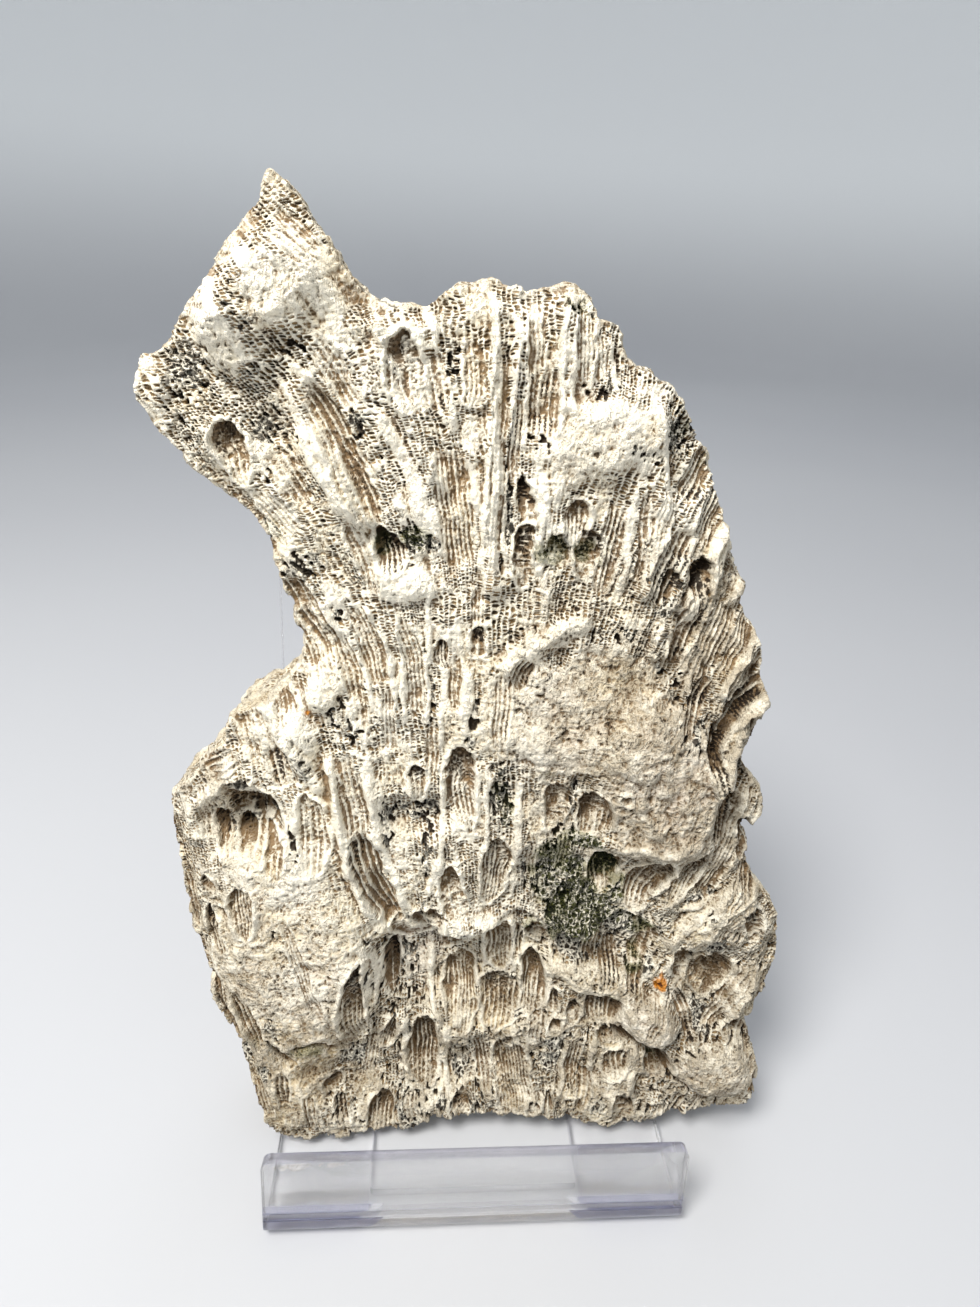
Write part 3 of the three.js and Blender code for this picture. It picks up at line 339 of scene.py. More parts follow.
# raised tube walls and wandering cracks: points, width, rise
seams = [
    ((-42, 187, -36, 176, -29, 163), 4, 1.6), ((-27, 200, -22, 186, -13, 170), 3.5, 1.6),
    ((-3.5, 204, -3, 180, -2.5, 150), 3.4, 1.8), ((1, 200, 0.5, 180), 3, 1.2), ((10, 206, 11, 188), 3.5, 1.4),
    ((30, 187, 33, 168, 31, 150), 3.6, 1.6), ((50, 165, 47, 154, 42, 146), 5, 2.4),
    ((39, 156, 37, 146, 35, 136), 3.6, 1.8), ((2, 132.5, 9, 138, 18, 143), 4.4, 2.2),
    ((61, 127, 57, 119, 54, 106), 6, 3), ((59, 138, 53, 130, 51, 123), 4, 1.6),
    ((-50, 122, -46, 114, -40, 104), 4, 1.8), ((-36, 108, -34, 92, -28, 74), 3.5, 1.6),
    ((35, 31, 40, 29, 46, 26, 51, 19.5, 56.5, 14.6, 63, 12.6), 3.2, -2.4),
    ((-52, 31.5, -50, 28, -47.5, 24.8), 2.6, -2.6), ((-46, 30, -42.5, 32, -38.5, 31, -37.5, 28.5), 2.6, -1.4),
    ((20.6, 135.2, 23, 133.2, 25.6, 132.6, 27.4, 133.4, 29.2, 132.6, 31.4, 134.6), 2.6, -.4),
    ((43.5, 105, 40.8, 100, 41.2, 94, 44.5, 90.5), 3.0, -.4), ((47, 106, 48.5, 100, 46.8, 94), 2.6, -.35),
    ((51, 109, 53, 99, 49.5, 90), 3.2, .8), ((36, 109, 34.5, 101, 37, 94), 2.6, .6),
    ((24, 107, 28, 108.4, 33, 106), 2.6, -.35), ((25, 121, 28, 120.4, 30, 119), 2.2, -.35),
    ((9, 126, 14, 123, 17, 118), 2.8, -.35), ((4, 112, 9, 109, 15, 109), 3.2, -.35),
    ((31, 127, 36, 122, 38, 115), 3.0, .5), ((-24, 62, -8, 63.5, 4, 64, 18, 63.5, 27, 60), 6, 2),
    ((28, 88, 40, 86.5, 53, 88), 5, 1.4),
]

# which way the coral grew: u, v and the lean to the right in degrees
growth = [
    (0, 200, 0), (0, 150, 0), (0, 100, 0), (0, 60, 0), (0, 20, -3), (12, 200, 4), (15, 160, 3), (23, 158, 10),
    (30, 180, 15), (41, 175, 32), (35, 155, 20), (46, 165, 28), (46, 138, 22), (53, 150, 25), (56, 125, 38),
    (58, 112, 30), (50, 110, 12), (43, 77, 38), (58, 95, 20), (61, 68, 42), (70, 62, 30), (55, 45, 30),
    (66, 35, 15), (70, 15, 10), (56, 9, 35), (40, 10, 10), (34, 38, 8), (20, 50, 0), (10, 15, -16),
    (24, 95, 0), (40, 105, 15), (-10, 165, -6), (-8, 197, 0), (-20, 192, -18), (-28, 168, -28),
    (-36, 183, -32), (-32, 150, -28), (-40, 142, -32), (-27, 132, -18), (-19, 131, -7), (-12, 134, -5),
    (-48, 164, -48), (-42, 190, -50), (-42, 214, -52), (-55, 178, -20), (-60, 195, -40), (-65, 185, -40),
    (-54, 114, -12), (-46, 108, -15), (-60, 104, -25), (-30, 100, -10), (-26, 80, -22), (-7, 100, -12),
    (-6, 75, -8), (-50, 83, -12), (-57, 69, -6), (-64, 64, -14), (-43, 55, -18), (-62, 40, -22),
    (-56, 38, -22), (-32, 40, 0), (-21, 47, 0), (-5, 45, -10), (-13, 25, 0), (-25, 7, 0), (-40, 10, -12),
    (-55, 15, -20), (-35, 70, -14),
]

# patches of the face: u, v, half length, half width, turn, strength
patches = {
    "smooth": [
        (18, 181, 13, 8, 12, 1), (-43.5, 205, 11, 6, 30, .6), (-57, 196, 8, 3.6, 122, 1),
        (-34, 172, 14, 4, 120, .8), (-21, 150, 7, 4, 0, 1), (-8, 118, 5, 12, 0, .8), (15, 119, 24, 14, 0, 1),
        (40, 104, 24, 15, 105, 1), (-46, 55, 40, 20, 95, 1), (-43, 114, 9, 4, 105, 1),
        (-37, 126, 6, 4, 70, 1), (10, 138, 12, 3, 28, 1), (64, 21, 14, 10, -20, 1), (61, 69, 14, 5, 50, 1),
        (72, 42, 8, 5, 90, 1), (57, 119, 13, 4, 65, 1), (45, 155, 11, 3.5, 65, 1), (36, 11, 10, 6, 70, 1),
        (44, 36, 9, 6, -38, 1), (30, 47, 12, 4, -15, 1), (-48, 14, 12, 10, 100, .7), (-20, 88, 8, 10, 0, .5),
        (-4, 93, 5, 5, 0, .8), (25, 130, 12, 6, 0, 1), (-34, 90, 3, 18, 10, .7), (12, 96, 5, 10, 0, .5),
    ],
    "porous": [
        (-52, 201, 2.2, 9, 22, 1.2), (-41, 195, 9, 2.4, -12, 1.2), (-64, 184, 5, 8, 0, 1.2),
        (-44, 215.5, 7, 2.2, 25, 1), (-60, 190, 8, 9, 0, 1), (-47, 184, 10, 6, 0, .8),
        (-47, 191.5, 4, 2.5, 20, 1.6), (-13, 195, 4, 4, 60, 1), (-14, 186, 3, 5, 0, 1),
        (0.5, 168, 2.5, 14, 0, 1), (37, 182, 5, 5, 0, 1), (42, 175, 5, 6, 0, 1.2), (36, 151.5, 3, 3, 0, 1),
        (-19, 159, 5, 3, 0, 1), (-40, 145, 7, 3, -45, 1), (-43, 108, 4, 4, 0, 1), (-17, 95, 6, 3, 0, 1.3),
        (2, 103, 4, 8, 0, 1.5), (19, 101, 2, 6, 0, 1), (14, 80, 8, 8, 0, 1.1), (24, 68, 8, 8, 0, 1.6),
        (42, 63, 4, 5, 0, 1), (-57, 91, 7, 6, 0, 1.1), (-29, 81, 2, 4, 0, 1), (-51, 30, 4, 3, 0, .8),
        (-31, 34, 4, 4, 0, 1), (-22, 45, 2, 5, 0, 1), (-13, 66, 4, 2, 0, .8), (33, 38, 4, 3, 0, .8),
        (24, 20, 6, 3, 0, .8), (45, 22, 4, 4, 0, .9), (20, 13, 4, 7, 0, .8), (55, 8, 7, 4, 0, 1.2),
        (-24, 6, 4, 5, 0, .8), (-34, 9, 3, 6, 0, .8), (-3, 8, 5, 4, 0, .8), (58, 50, 5, 6, 0, .8),
        (56, 100, 3, 7, 0, 1.1), (62.5, 88, 2, 4, 0, 1.5), (69, 64, 3, 4, 0, 1), (49, 118, 3, 8, 30, 1.3),
        (45, 126, 3, 4, 0, 1), (54, 124, 2.5, 5, -40, 1.6), (51.5, 114, 1.5, 5, 0, 1.6),
        (46, 140, 5, 10, -20, .7), (31, 160, 6, 18, -8, .5), (-30, 185, 8, 9, 0, .6), (0, 190, 14, 10, 0, .5),
        (22, 56, 8, 5, 0, .9), (33, 56, 10, 4, 0, .8),
    ],
    "spongy": [
        (-14, 8, 8, 8, 0, .9), (-4, 18, 3, 8, 0, .8), (-31, 23, 6, 4, 0, .7), (-51.5, 36, 2.6, 6, 0, .8),
        (-58.5, 26, 2, 5, 0, .7), (-54.5, 21, 2.2, 3, 0, .8), (22, 27, 5, 4, 0, .8), (24, 19, 7, 3, 0, .9),
        (5, 10, 4, 4, 0, .8), (33, 8, 3, 4, 0, .6), (56, 33, 5, 9, -20, .9), (72, 48, 4, 5, 0, .5),
        (24, 66, 8, 7, 0, 1.2), (22, 55, 8, 4, 0, 1.1), (34, 63, 6, 4, 0, 1), (41, 52, 3, 8, 0, .9),
        (43, 62, 4, 4, 0, 1), (54, 71, 4.5, 5, 0, 1.1), (14, 79, 6, 8, 0, .9), (18, 91, 5, 3, 0, .9),
        (20, 100, 1.6, 5, 0, 1), (1.5, 102, 2.6, 9, 0, 1), (-14, 86, 1.6, 8, 0, 1),
        (-17, 95.5, 6, 2.6, 0, 1.2), (-24, 92, 2, 8, 0, .8), (-15, 122, 1.8, 13, 0, .9),
        (-5, 120, 1.8, 9, 0, .9), (-34, 118, 5, 6, 0, .7), (-30, 89, 2.2, 5, 0, .9), (-45, 89, 2.4, 6, 0, .7),
        (-13.5, 71, 3, 1.8, 0, .9), (-49, 63, 2, 6, 0, .7), (-57, 89, 5, 5, 0, .6),
        (58.5, 105, 2.4, 6, 0, .9), (56, 100, 2, 7, -12, .9), (46, 118, 4.5, 6, 30, 1),
        (41, 128, 2.5, 5, -15, .9), (45, 136, 1.8, 7, -20, .8), (36, 149, 2.4, 7, -12, 1),
        (36, 134, 2, 5, 0, .9), (49.5, 153, 4.5, 6, -20, .7), (27.5, 140, 3, 2, 0, 1),
        (21, 140, 2.4, 1.6, 0, 1), (4.5, 139.5, 4, 2, 30, .8), (12.5, 133.5, 1.6, 1.2, 0, 1.1),
        (-41.5, 152, 4, 6, -40, .8), (-37, 140, 2.4, 6, -40, 1), (-17.5, 159, 4, 2.6, 0, 1),
        (0.5, 165, 1.6, 14, 0, .9), (29, 156, 3, 8, 0, .6), (18, 192, 4, 3.4, 0, .9),
        (36, 184, 4.5, 6, 30, .9), (28, 178.5, 5, 1.4, -20, 1), (6, 186, 3.4, 9, 0, .7),
        (-13, 193, 3, 4, 0, .9), (-32, 182, 3.4, 3, 40, .9), (-52, 172, 6, 3, -20, .6),
        (-46, 178, 5, 6, 0, .6), (-63, 190, 4, 6, 0, .5), (-26, 174, 2.4, 2, 0, .7), (60, 57, 3, 4, 0, .8),
        (74.5, 16, 1.5, 4, 0, .7), (-17, 50, 4, 5, 0, .5), (-27, 44, 2, 8, 0, .6), (-46, 107, 4, 4, 0, .8),
    ],
    "tan": [
        (-4, 44, 4, 11, 0, 1), (6, 36, 6, 8, 0, .9), (-24, 60, 3, 6, 0, .7), (-62, 184, 8, 6, 0, .9),
        (-31, 168, 4, 9, 30, .8), (-9.5, 163, 4, 12, 0, .8), (-2, 118, 10, 12, 0, .5),
        (-30, 128, 6, 12, -25, .6), (-56, 176, 5, 5, 0, .8), (-48, 36, 10, 6, 0, .4), (-53, 20, 7, 12, 0, .6),
        (-55, 176, 3, 4, 0, 1), (-36, 184, 3, 4, 0, 1), (-8, 193, 2, 5, 0, 1), (-10, 166, 3, 10, 0, .8),
        (-40, 136, 6, 3, -60, .8), (-11, 145, 3, 3, 0, 1), (2, 45, 12, 10, 0, .8), (30, 46, 10, 5, 0, .6),
        (-40, 20, 14, 10, 0, .7), (-51, 84, 3, 6, 0, .7), (-55, 114, 3, 5, 0, .7), (45, 138, 3, 8, 0, .8),
        (52, 132, 3, 6, 0, .8), (9, 15, 4, 11, 15, .8), (-42, 27, 8, 5, 0, 1), (58, 50, 8, 7, 0, .8),
        (-46, 218, 8, 6, 0, .5), (-66, 184, 6, 8, 0, .5), (37, 182, 8, 8, 0, .5), (74, 16, 3, 5, 0, 1.2),
        (-60, 36, 5, 10, 0, .6), (-57, 92, 8, 7, 0, .8), (12, 60, 10, 5, 0, .5), (-15, 208, 4, 3, 0, .8),
    ],
    "green": [
        (29, 79, 4.5, 4, 0, .9), (24, 72, 5, 5, 0, .95), (21, 66, 5.5, 5.5, 0, 1), (28, 66, 5, 5, 20, 1),
        (25, 60, 5, 3, 0, .85), (32, 71, 4, 3, 40, .8), (21, 79, 4.5, 4, 0, .8), (16, 84, 6, 5, 25, .6),
        (22, 88.5, 6, 2.4, -10, .8), (13, 62, 3, 2, 0, .8), (40, 62, 4, 4, 30, .5), (16, 76, 6, 8, 0, .5),
        (2, 102, 2.4, 6, 0, .5), (4, 96, 2, 5, 0, .4), (40, 52, 2.4, 6, 0, .5), (19, 60, 2, 5, 0, .8),
        (34, 65, 3, 3, 0, .5), (33, 76, 2.5, 3, 0, .6), (17, 74, 3, 3, 0, .6), (10, 158, 4, 3.4, 0, .5),
        (17, 158, 3, 3, 0, .5), (-25.5, 158, 2, 3, 0, .4), (-18, 160, 4, 2.5, 0, .5), (22, 155, 2, 5, 0, .35),
        (34, 42, 3, 1.5, 0, .5), (-48, 160, 3, 3, 0, .35), (8, 104, 7, 4, 30, .2), (13, 206, 6, 3, 0, .3),
        (35, 185, 5, 5, 0, .3), (41, 177, 4, 5, 0, .3), (13.5, 44, 3, 4, 0, .2), (-43, 29, 6, 3, 10, .35),
        (-57, 31, 3, 2, 0, .3), (50.5, 55.5, 2, 3, 0, .35), (47, 23, 3, 3, 0, .3), (31, 42, 3, 1.5, 0, .3),
        (52, 50, 2, 2, 0, .2),
    ],
    "rust": [
        (46.6, 46.4, 1.9, 2.2, 0, .72), (46.8, 47.9, .7, 3.2, 8, .55), (46.5, 46.2, .8, .9, 0, 1.5),
        (-41.2, 120.5, .7, .7, 0, .6), (74.8, 15, 1, 3.4, 0, .3),
    ],
    "grey": [
        (-17, 52, 9, 9, 0, 1), (44, 36, 9, 6, -38, .7), (60, 20, 16, 10, 0, .7), (40, 104, 26, 16, 105, .6),
        (15, 119, 20, 12, 0, .4), (-46, 50, 36, 18, 95, .35), (18, 181, 14, 9, 0, .4),
        (66, 60, 10, 12, 0, .4),
    ],
}


class Grid:
    # the face's plane in even steps; every feature works inside its own window
    def __init__(self, low, high, step):
        self.us, self.vs = np.arange(low[0], high[0], step), np.arange(low[1], high[1], step)
        self.u, self.v = np.meshgrid(self.us, self.vs)

    def zeros(self):
        return np.zeros(self.u.shape)

    def window(self, us, vs, reach):
        i0, i1 = np.searchsorted(self.us, (min(us) - reach, max(us) + reach))
        j0, j1 = np.searchsorted(self.vs, (min(vs) - reach, max(vs) + reach))
        return slice(j0, j1), slice(i0, i1)

    def fromCoarse(self, values, low, step):
        # a coarse grid's values at this grid's points
        i = np.clip((self.us - low[0]) / step, 0, values.shape[1] - 1.001)
        j = np.clip((self.vs - low[1]) / step, 0, values.shape[0] - 1.001)
        i0, j0 = i.astype(int), j.astype(int)
        a, b = (i - i0)[None, :], (j - j0)[:, None]
        across = values[:, i0] * (1 - a) + values[:, i0 + 1] * a
        return across[j0] * (1 - b) + across[j0 + 1] * b


def catmullRom(corners, step):
    # a closed centripetal curve through the corners, in even steps
    points = np.array(corners, float)
    count = len(points)
    dense = []
    for k in range(count):
        p = [points[(k + d) % count] for d in (-1, 0, 1, 2)]
        t = [0.0]
        for a, b in zip(p, p[1:]):
            t.append(t[-1] + math.sqrt(np.linalg.norm(b - a)))
        for s in np.linspace(t[1], t[2], 24, endpoint=False):
            a1 = [p[n] + (p[n + 1] - p[n]) * (s - t[n]) / (t[n + 1] - t[n]) for n in range(3)]
            b1 = [a1[n] + (a1[n + 1] - a1[n]) * (s - t[n]) / (t[n + 2] - t[n]) for n in range(2)]
            dense.append(b1[0] + (b1[1] - b1[0]) * (s - t[1]) / (t[2] - t[1]))
    closed = np.array(dense + dense[:1])
    along = np.concatenate([[0], np.cumsum(np.linalg.norm(np.diff(closed, axis=0), axis=1))])
    at = np.linspace(0, along[-1], int(along[-1] / step), endpoint=False)
    return np.stack([np.interp(at, along, closed[:, 0]), np.interp(at, along, closed[:, 1])], 1)


def leftNormals(loop, reach):
    # to the left of the way round a closed loop
    ahead = np.roll(loop, -reach, 0) - np.roll(loop, reach, 0)
    normal = np.stack([-ahead[:, 1], ahead[:, 0]], 1)
    return normal / np.maximum(np.linalg.norm(normal, axis=1), 1e-9)[:, None]


def distanceInside(points, loop):
    # signed distance to a closed loop, more than nought inside
    start, end = loop, np.roll(loop, -1, 0)
    span = end - start
    lengths = (span ** 2).sum(1)
    result = np.empty(len(points))
    batch = 4000
    for k in range(0, len(points), batch):
        p = points[k:k + batch, None, :]
        share = np.clip(((p - start) * span).sum(2) / lengths, 0, 1)
        nearest = np.sqrt(((p - start - share[..., None] * span) ** 2).sum(2).min(1))
        crosses = (start[:, 1] > p[..., 1]) != (end[:, 1] > p[..., 1])
        rise = np.where(span[:, 1] == 0, 1e-9, span[:, 1])
        at = start[:, 0] + (p[..., 1] - start[:, 1]) * span[:, 0] / rise
        inside = (crosses & (p[..., 0] < at)).sum(1) % 2 == 1
        result[k:k + batch] = np.where(inside, nearest, -nearest)
    return result


def ellipse(grid, target, patch, core, combine):
    # an oval with a soft edge, whole within its core
    u, v, halfLength, halfWidth, turn, amount = patch
    w = grid.window([u], [v], 1.4 * max(halfLength, halfWidth))
    c, s = math.cos(math.radians(turn)), math.sin(math.radians(turn))
    du, dv = grid.u[w] - u, grid.v[w] - v
    away = np.hypot((du * c + dv * s) / halfLength, (dv * c - du * s) / halfWidth)
    target[w] = combine(target[w], amount * smoothStep(1.35, core, away))


def seam(grid, target, points, width, rise):
    us, vs = points[::2], points[1::2]
    w = grid.window(us, vs, width)
    u = grid.u[w] + 0.7 * noise(grid.u[w], grid.v[w], 3.1, 41)
    v = grid.v[w] + 0.7 * noise(grid.u[w], grid.v[w], 3.1, 42)
    nearest = np.full(u.shape, 99.0)
    for u0, v0, u1, v1 in zip(us, vs, us[1:], vs[1:]):
        su, sv = u1 - u0, v1 - v0
        share = np.clip(((u - u0) * su + (v - v0) * sv) / (su * su + sv * sv), 0, 1)
        nearest = np.minimum(nearest, np.hypot(u - u0 - share * su, v - v0 - share * sv))
    broad = smoothStep(width * 0.8, 0, nearest)
    if rise > 0:
        target[w] += rise * broad
    else:  # a crack: a broad dip with a narrow cleft at its bottom
        target[w] += rise * (0.5 * broad + 0.7 * smoothStep(width * 0.3, 0, nearest))


lattice = {
    "columnWidth": 1.02,
    "rowHeight": 0.7,
    "poreDepth": 0.6,
    "softness": 0.32,
    "fill": 0.86,  # share of the net's openings that are open
    "flowReach": 12.0,  # how far one growth sample holds
    "steepest": 60,  # degrees
    "waist": 100.0,  # the columns are counted along this level
    "farthest": 130,  # from the waist
    "draw": (7.31, 3.17, 43.7585),  # the sine's weights and scale behind every chance
    "rungSpan": 1.15,  # between the cross threads of cups and bundles
}


def traceGrowth(low, high, step):
    # for a coarse grid: the column coordinate, the length along it, and how tightly columns lie
    us, vs = np.arange(low[0], high[0], step), np.arange(low[1], high[1], step)
    u, v = np.meshgrid(us, vs)
    weight, lean = np.zeros(u.shape), np.zeros(u.shape)
    for su, sv, degrees in growth:
        w = np.exp(-((u - su) ** 2 + (v - sv) ** 2) / (2 * lattice["flowReach"] ** 2)) + 1e-9
        weight += w
        lean += w * degrees
    slope = np.tan(np.radians(np.clip(lean / weight, -lattice["steepest"], lattice["steepest"])))
    at, level, length = u.copy(), v.copy(), np.zeros(u.shape)
    for _ in range(int(lattice["farthest"] / step)):
        travel = np.clip(lattice["waist"] - level, -step, step)
        i = np.clip((at - low[0]) / step, 0, len(us) - 1.001)
        j = np.clip((level + travel / 2 - low[1]) / step, 0, len(vs) - 1.001)
        i0, j0 = i.astype(int), j.astype(int)
        a, b = i - i0, j - j0
        lower = slope[j0, i0] * (1 - a) + slope[j0, i0 + 1] * a
        upper = slope[j0 + 1, i0] * (1 - a) + slope[j0 + 1, i0 + 1] * a
        s = lower * (1 - b) + upper * b
        at += s * travel
        length += np.sign(v - lattice["waist"]) * np.abs(travel) * np.sqrt(1 + s * s)
        level += travel
    dv, du = np.gradient(at, step)
    return at, length, np.hypot(du, dv)


def growthNoise(lines, cellAcross, cellAlong, seed):
    # value noise stretched along the growth; its cells keep their real width where the columns fan out
    across, along, density = lines
    octave = -np.log2(density)
    whole = np.floor(octave)
    share = smoothStep(0.25, 0.75, octave - whole)
    below = noise(across * 2.0 ** whole / cellAcross, along / cellAlong, 1.0, seed)
    above = noise(across * 2.0 ** (whole + 1) / cellAcross, along / cellAlong, 1.0, seed)
    return below * (1 - share) + above * share


def chance(first, second, salt):
    # the shader makes the same draw, so that its fine pores lie on the mesh's own
    a, b, scale = lattice["draw"]
    draw = np.sin(first * a + second * b + salt) * scale
    return draw - np.floor(draw)


def latticePlaces(grid, lines):
    # every spot's column and row in the net of pores, and how surely it lies in one
    wave = waves(grid.u, grid.v)
    across, along, density = lines
    octave = 0.5 - np.log2(lattice["columnWidth"] * density) + 0.35 * wave(9, 86)
    whole = np.floor(octave)
    wander = 0.4 * wave(3.7, 82) + 0.26 * wave(1.5, 83)
    column = across * 2.0 ** whole + wander + 0.3 * noise(across * 2.0 ** whole, grid.v * 0, 1.7, 87)
    row = along / lattice["rowHeight"] + 0.7 * wave(2.7, 84) + 0.36 * wave(1.1, 85)
    sure = smoothStep(0.02, 0.1, np.minimum(octave - whole, whole + 1 - octave))
    return column, row, sure


def netOfPores(column, row):
    which = np.floor(column)
    row = row * (0.8 + 0.45 * chance(which, 0, 0.3)) + 9 * chance(which, 0, 1.7)
    rung = np.floor(row)
    odds = lambda salt: chance(which, rung, salt)
    x = (column - which - 0.5 + 0.25 * (odds(2.1) - 0.5)) / (0.28 + 0.18 * odds(3.3))
    y = (row - rung - 0.5 + 0.25 * (odds(4.6) - 0.5)) / (0.24 + 0.19 * odds(5.2))
    away = 0.6 * np.hypot(x, y) + 0.4 * np.maximum(np.abs(x), np.abs(y))
    wall = np.abs(column - which - 0.5) * 2  # 1 on the wall between two columns
    soft = lattice["softness"]
    return (odds(6.9) < lattice["fill"]) * smoothStep(1 + soft, 1 - soft, away), wall


def raiseTo(target, w, values):
    target[w] = np.maximum(target[w], values)


def crossThreads(along, turn, low, high):
    return smoothStep(low, high, np.cos(2 * math.pi * (along / lattice["rungSpan"] + turn)))


def cutCup(grid, index, cup, maps):
    headU, headV, footU, footV, width, depth, septa, dark, headSharp, footSharp = cup
    length = math.hypot(footU - headU, footV - headV)
    alongU, alongV = (footU - headU) / length, (footV - headV) / length
    w = grid.window((headU, footU), (headV, footV), width * 0.95)
    u, v = grid.u[w], grid.v[w]
    seed = 200 + 9 * index
    wave = waves(u, v, seed)
    along = (u - headU) * alongU + (v - headV) * alongV + 0.8 * wave(4.4, 2) + 0.4 * wave(1.4, 3)
    across = (v - headV) * alongU - (u - headU) * alongV + 0.7 * wave(4.6, 0)
    odds = np.random.RandomState(seed).uniform(0, 1, 8)
    share = along / length
    across = across + (odds[0] - 0.5) * 0.16 * length * 4 * share * (1 - share)
    # half its width at each level, rounded or pointed at either end
    within = np.clip(share, 0.001, 0.999)
    widest = headSharp / (headSharp + footSharp)
    profile = (within / widest) ** headSharp * ((1 - within) / (1 - widest)) ** footSharp
    radius = width / 2 * np.maximum(profile, 0.02)
    beyond = np.maximum(-along, 0) + np.maximum(along - length, 0)
    away = np.hypot(across + 0.42 * wave(1.5, 1), 1.3 * beyond) / (radius + 0.25 * beyond)
    inside = smoothStep(1.12, 0.82, away) * smoothStep(0.6, 0.1, beyond)
    floor = 1 - 0.85 * smoothStep(0.25 + 0.15 * odds[4], 1.0, share)
    bowl = inside * (0.5 + 0.5 * np.sqrt(np.clip(1 - away ** 2, 0, 1))) * floor
    rim = np.exp(-((away - 1) * radius / 0.6 - 0.9) ** 2) * np.clip(1.2 - 0.4 * share, 0, 1)
    rim = rim * smoothStep(1.5, 0.4, beyond) * np.clip(0.75 + 0.7 * wave(3.4, 6), 0, 1)
    # its own septa stand in it as thin pale blades
    lines = max(1, round(septa * 1.2)) if septa else 0
    ridge, which = 0 * away, 0
    if lines:
        pitch = width / (lines + 0.9)
        spread = 0.75 + 0.25 * np.clip(radius / width * 2, 0, 1) if footSharp > 0.3 else 1.0
        shifted = across / (pitch * spread) + (0.5 if lines % 2 == 0 else 0.0)
        which = np.round(shifted)
        blade = np.abs(shifted - which) * pitch
        late = 0.32 * smoothStep(1.8, 3.0, depth)  # a deep cup's lines start lower down
        ragged = share + 0.2 * noise(which, share * 0, 1.0, seed + 8)
        starts = smoothStep(0.02 + late, 0.3 + late, ragged)
        thin = np.clip(0.07 + 0.05 * wave(2.3, 4), 0.02, 0.2)
        ridge = smoothStep(thin + 0.24, thin, blade) * starts * inside * smoothStep(1.1, 0.95, share)
        ridge = ridge * np.clip(0.85 + 0.4 * wave(2.6, 3), 0, 1)
    rungs = crossThreads(along, 0.37 * which + 0.6 * wave(1.9, 0), 0.2, 0.85)
    rough = wave(1.2, 5)
    # a ragged mesh of threads spans a hollow that has no septa
    web = smoothStep(0.3, 0.08, np.abs(wave(1.7, 7))) * inside * (0.9 if lines == 0 else 0.25)
    body = depth * 1.05 * bowl
    uneven = (0.3 * rungs + 0.25 * rough + 0.5 * web) * np.minimum(body, 1.2) * (1 - ridge)
    drop = body - ridge * (0.3 * body + 0.35) - uneven
    before = maps["depth"][w]
    maps["depth"][w] = np.where(inside > 0.02, np.maximum(before * (1 - inside), drop), before)
    maps["depth"][w] -= 0.85 * np.clip(rim, 0, 1) * (1 - inside)
    raiseTo(maps["cover"], w, np.maximum(inside, 0.85 * smoothStep(0.2, 0.6, rim)))
    # painted shade in the hollow, darkest under its head, and between its septa
    gap = inside * (1 - 0.9 * ridge) * np.clip(floor * 1.3, 0, 1)
    raiseTo(maps["shade"], w, (0.45 + 0.4 * dark) * gap)
    deep = gap * (1 - 0.35 * rungs - 0.5 * web) * (1.3 - 0.95 * share) + 0.35 * rough * gap
    between = 0
    if lines > 1:
        between = smoothStep(0.35, 0.1, np.abs(blade - pitch / 2)) * starts * inside * (1 - 0.7 * rungs)
    pit = 0.8 * dark * smoothStep(0.45, 1.0, deep)
    raiseTo(maps["dark"], w, np.maximum(pit, (0.1 + 0.45 * dark) * between))
    raiseTo(maps["white"], w, np.maximum(ridge * 0.9, np.clip(rim, 0, 1)))


def nearPath(grid, points, reach):
    # a window round a smooth path: how far along it, and how far to its side
    corners = list(np.array(points, float).reshape(-1, 2))
    corners = [2 * corners[0] - corners[1]] + corners + [2 * corners[-1] - corners[-2]]
    dense = []
    for a, b, c, d in zip(corners, corners[1:], corners[2:], corners[3:]):
        for t in np.linspace(0, 1, max(4, int(np.linalg.norm(c - b) / 0.8)), endpoint=False):
            square, cube = 2 * a - 5 * b + 4 * c - d, 3 * b - a - 3 * c + d
            dense.append(0.5 * (2 * b + (c - a) * t + square * t ** 2 + cube * t ** 3))
    path = np.array(dense + [corners[-2]])
    w = grid.window(path[:, 0], path[:, 1], reach)
    u, v = grid.u[w], grid.v[w]
    nearest, along, side = np.full(u.shape, 1e9), np.zeros(u.shape), np.zeros(u.shape)
    run, over = 0.0, 9.0  # the two ends reach over by this many steps
    for k in range(len(path) - 1):
        (u0, v0), (u1, v1) = path[k], path[k + 1]
        su, sv = u1 - u0, v1 - v0
        size = math.hypot(su, sv)
        raw = ((u - u0) * su + (v - v0) * sv) / size ** 2
        t = np.clip(raw, -over if k == 0 else 0.0, over if k == len(path) - 2 else 1.0)
        away = np.hypot(u - u0 - t * su, v - v0 - t * sv)
        closer = away < nearest
        nearest = np.where(closer, away, nearest)
        along = np.where(closer, run + t * size, along)
        side = np.where(closer, ((u - u0) * sv - (v - v0) * su) / size, side)
        run += size
    return w, u, v, along, side, run


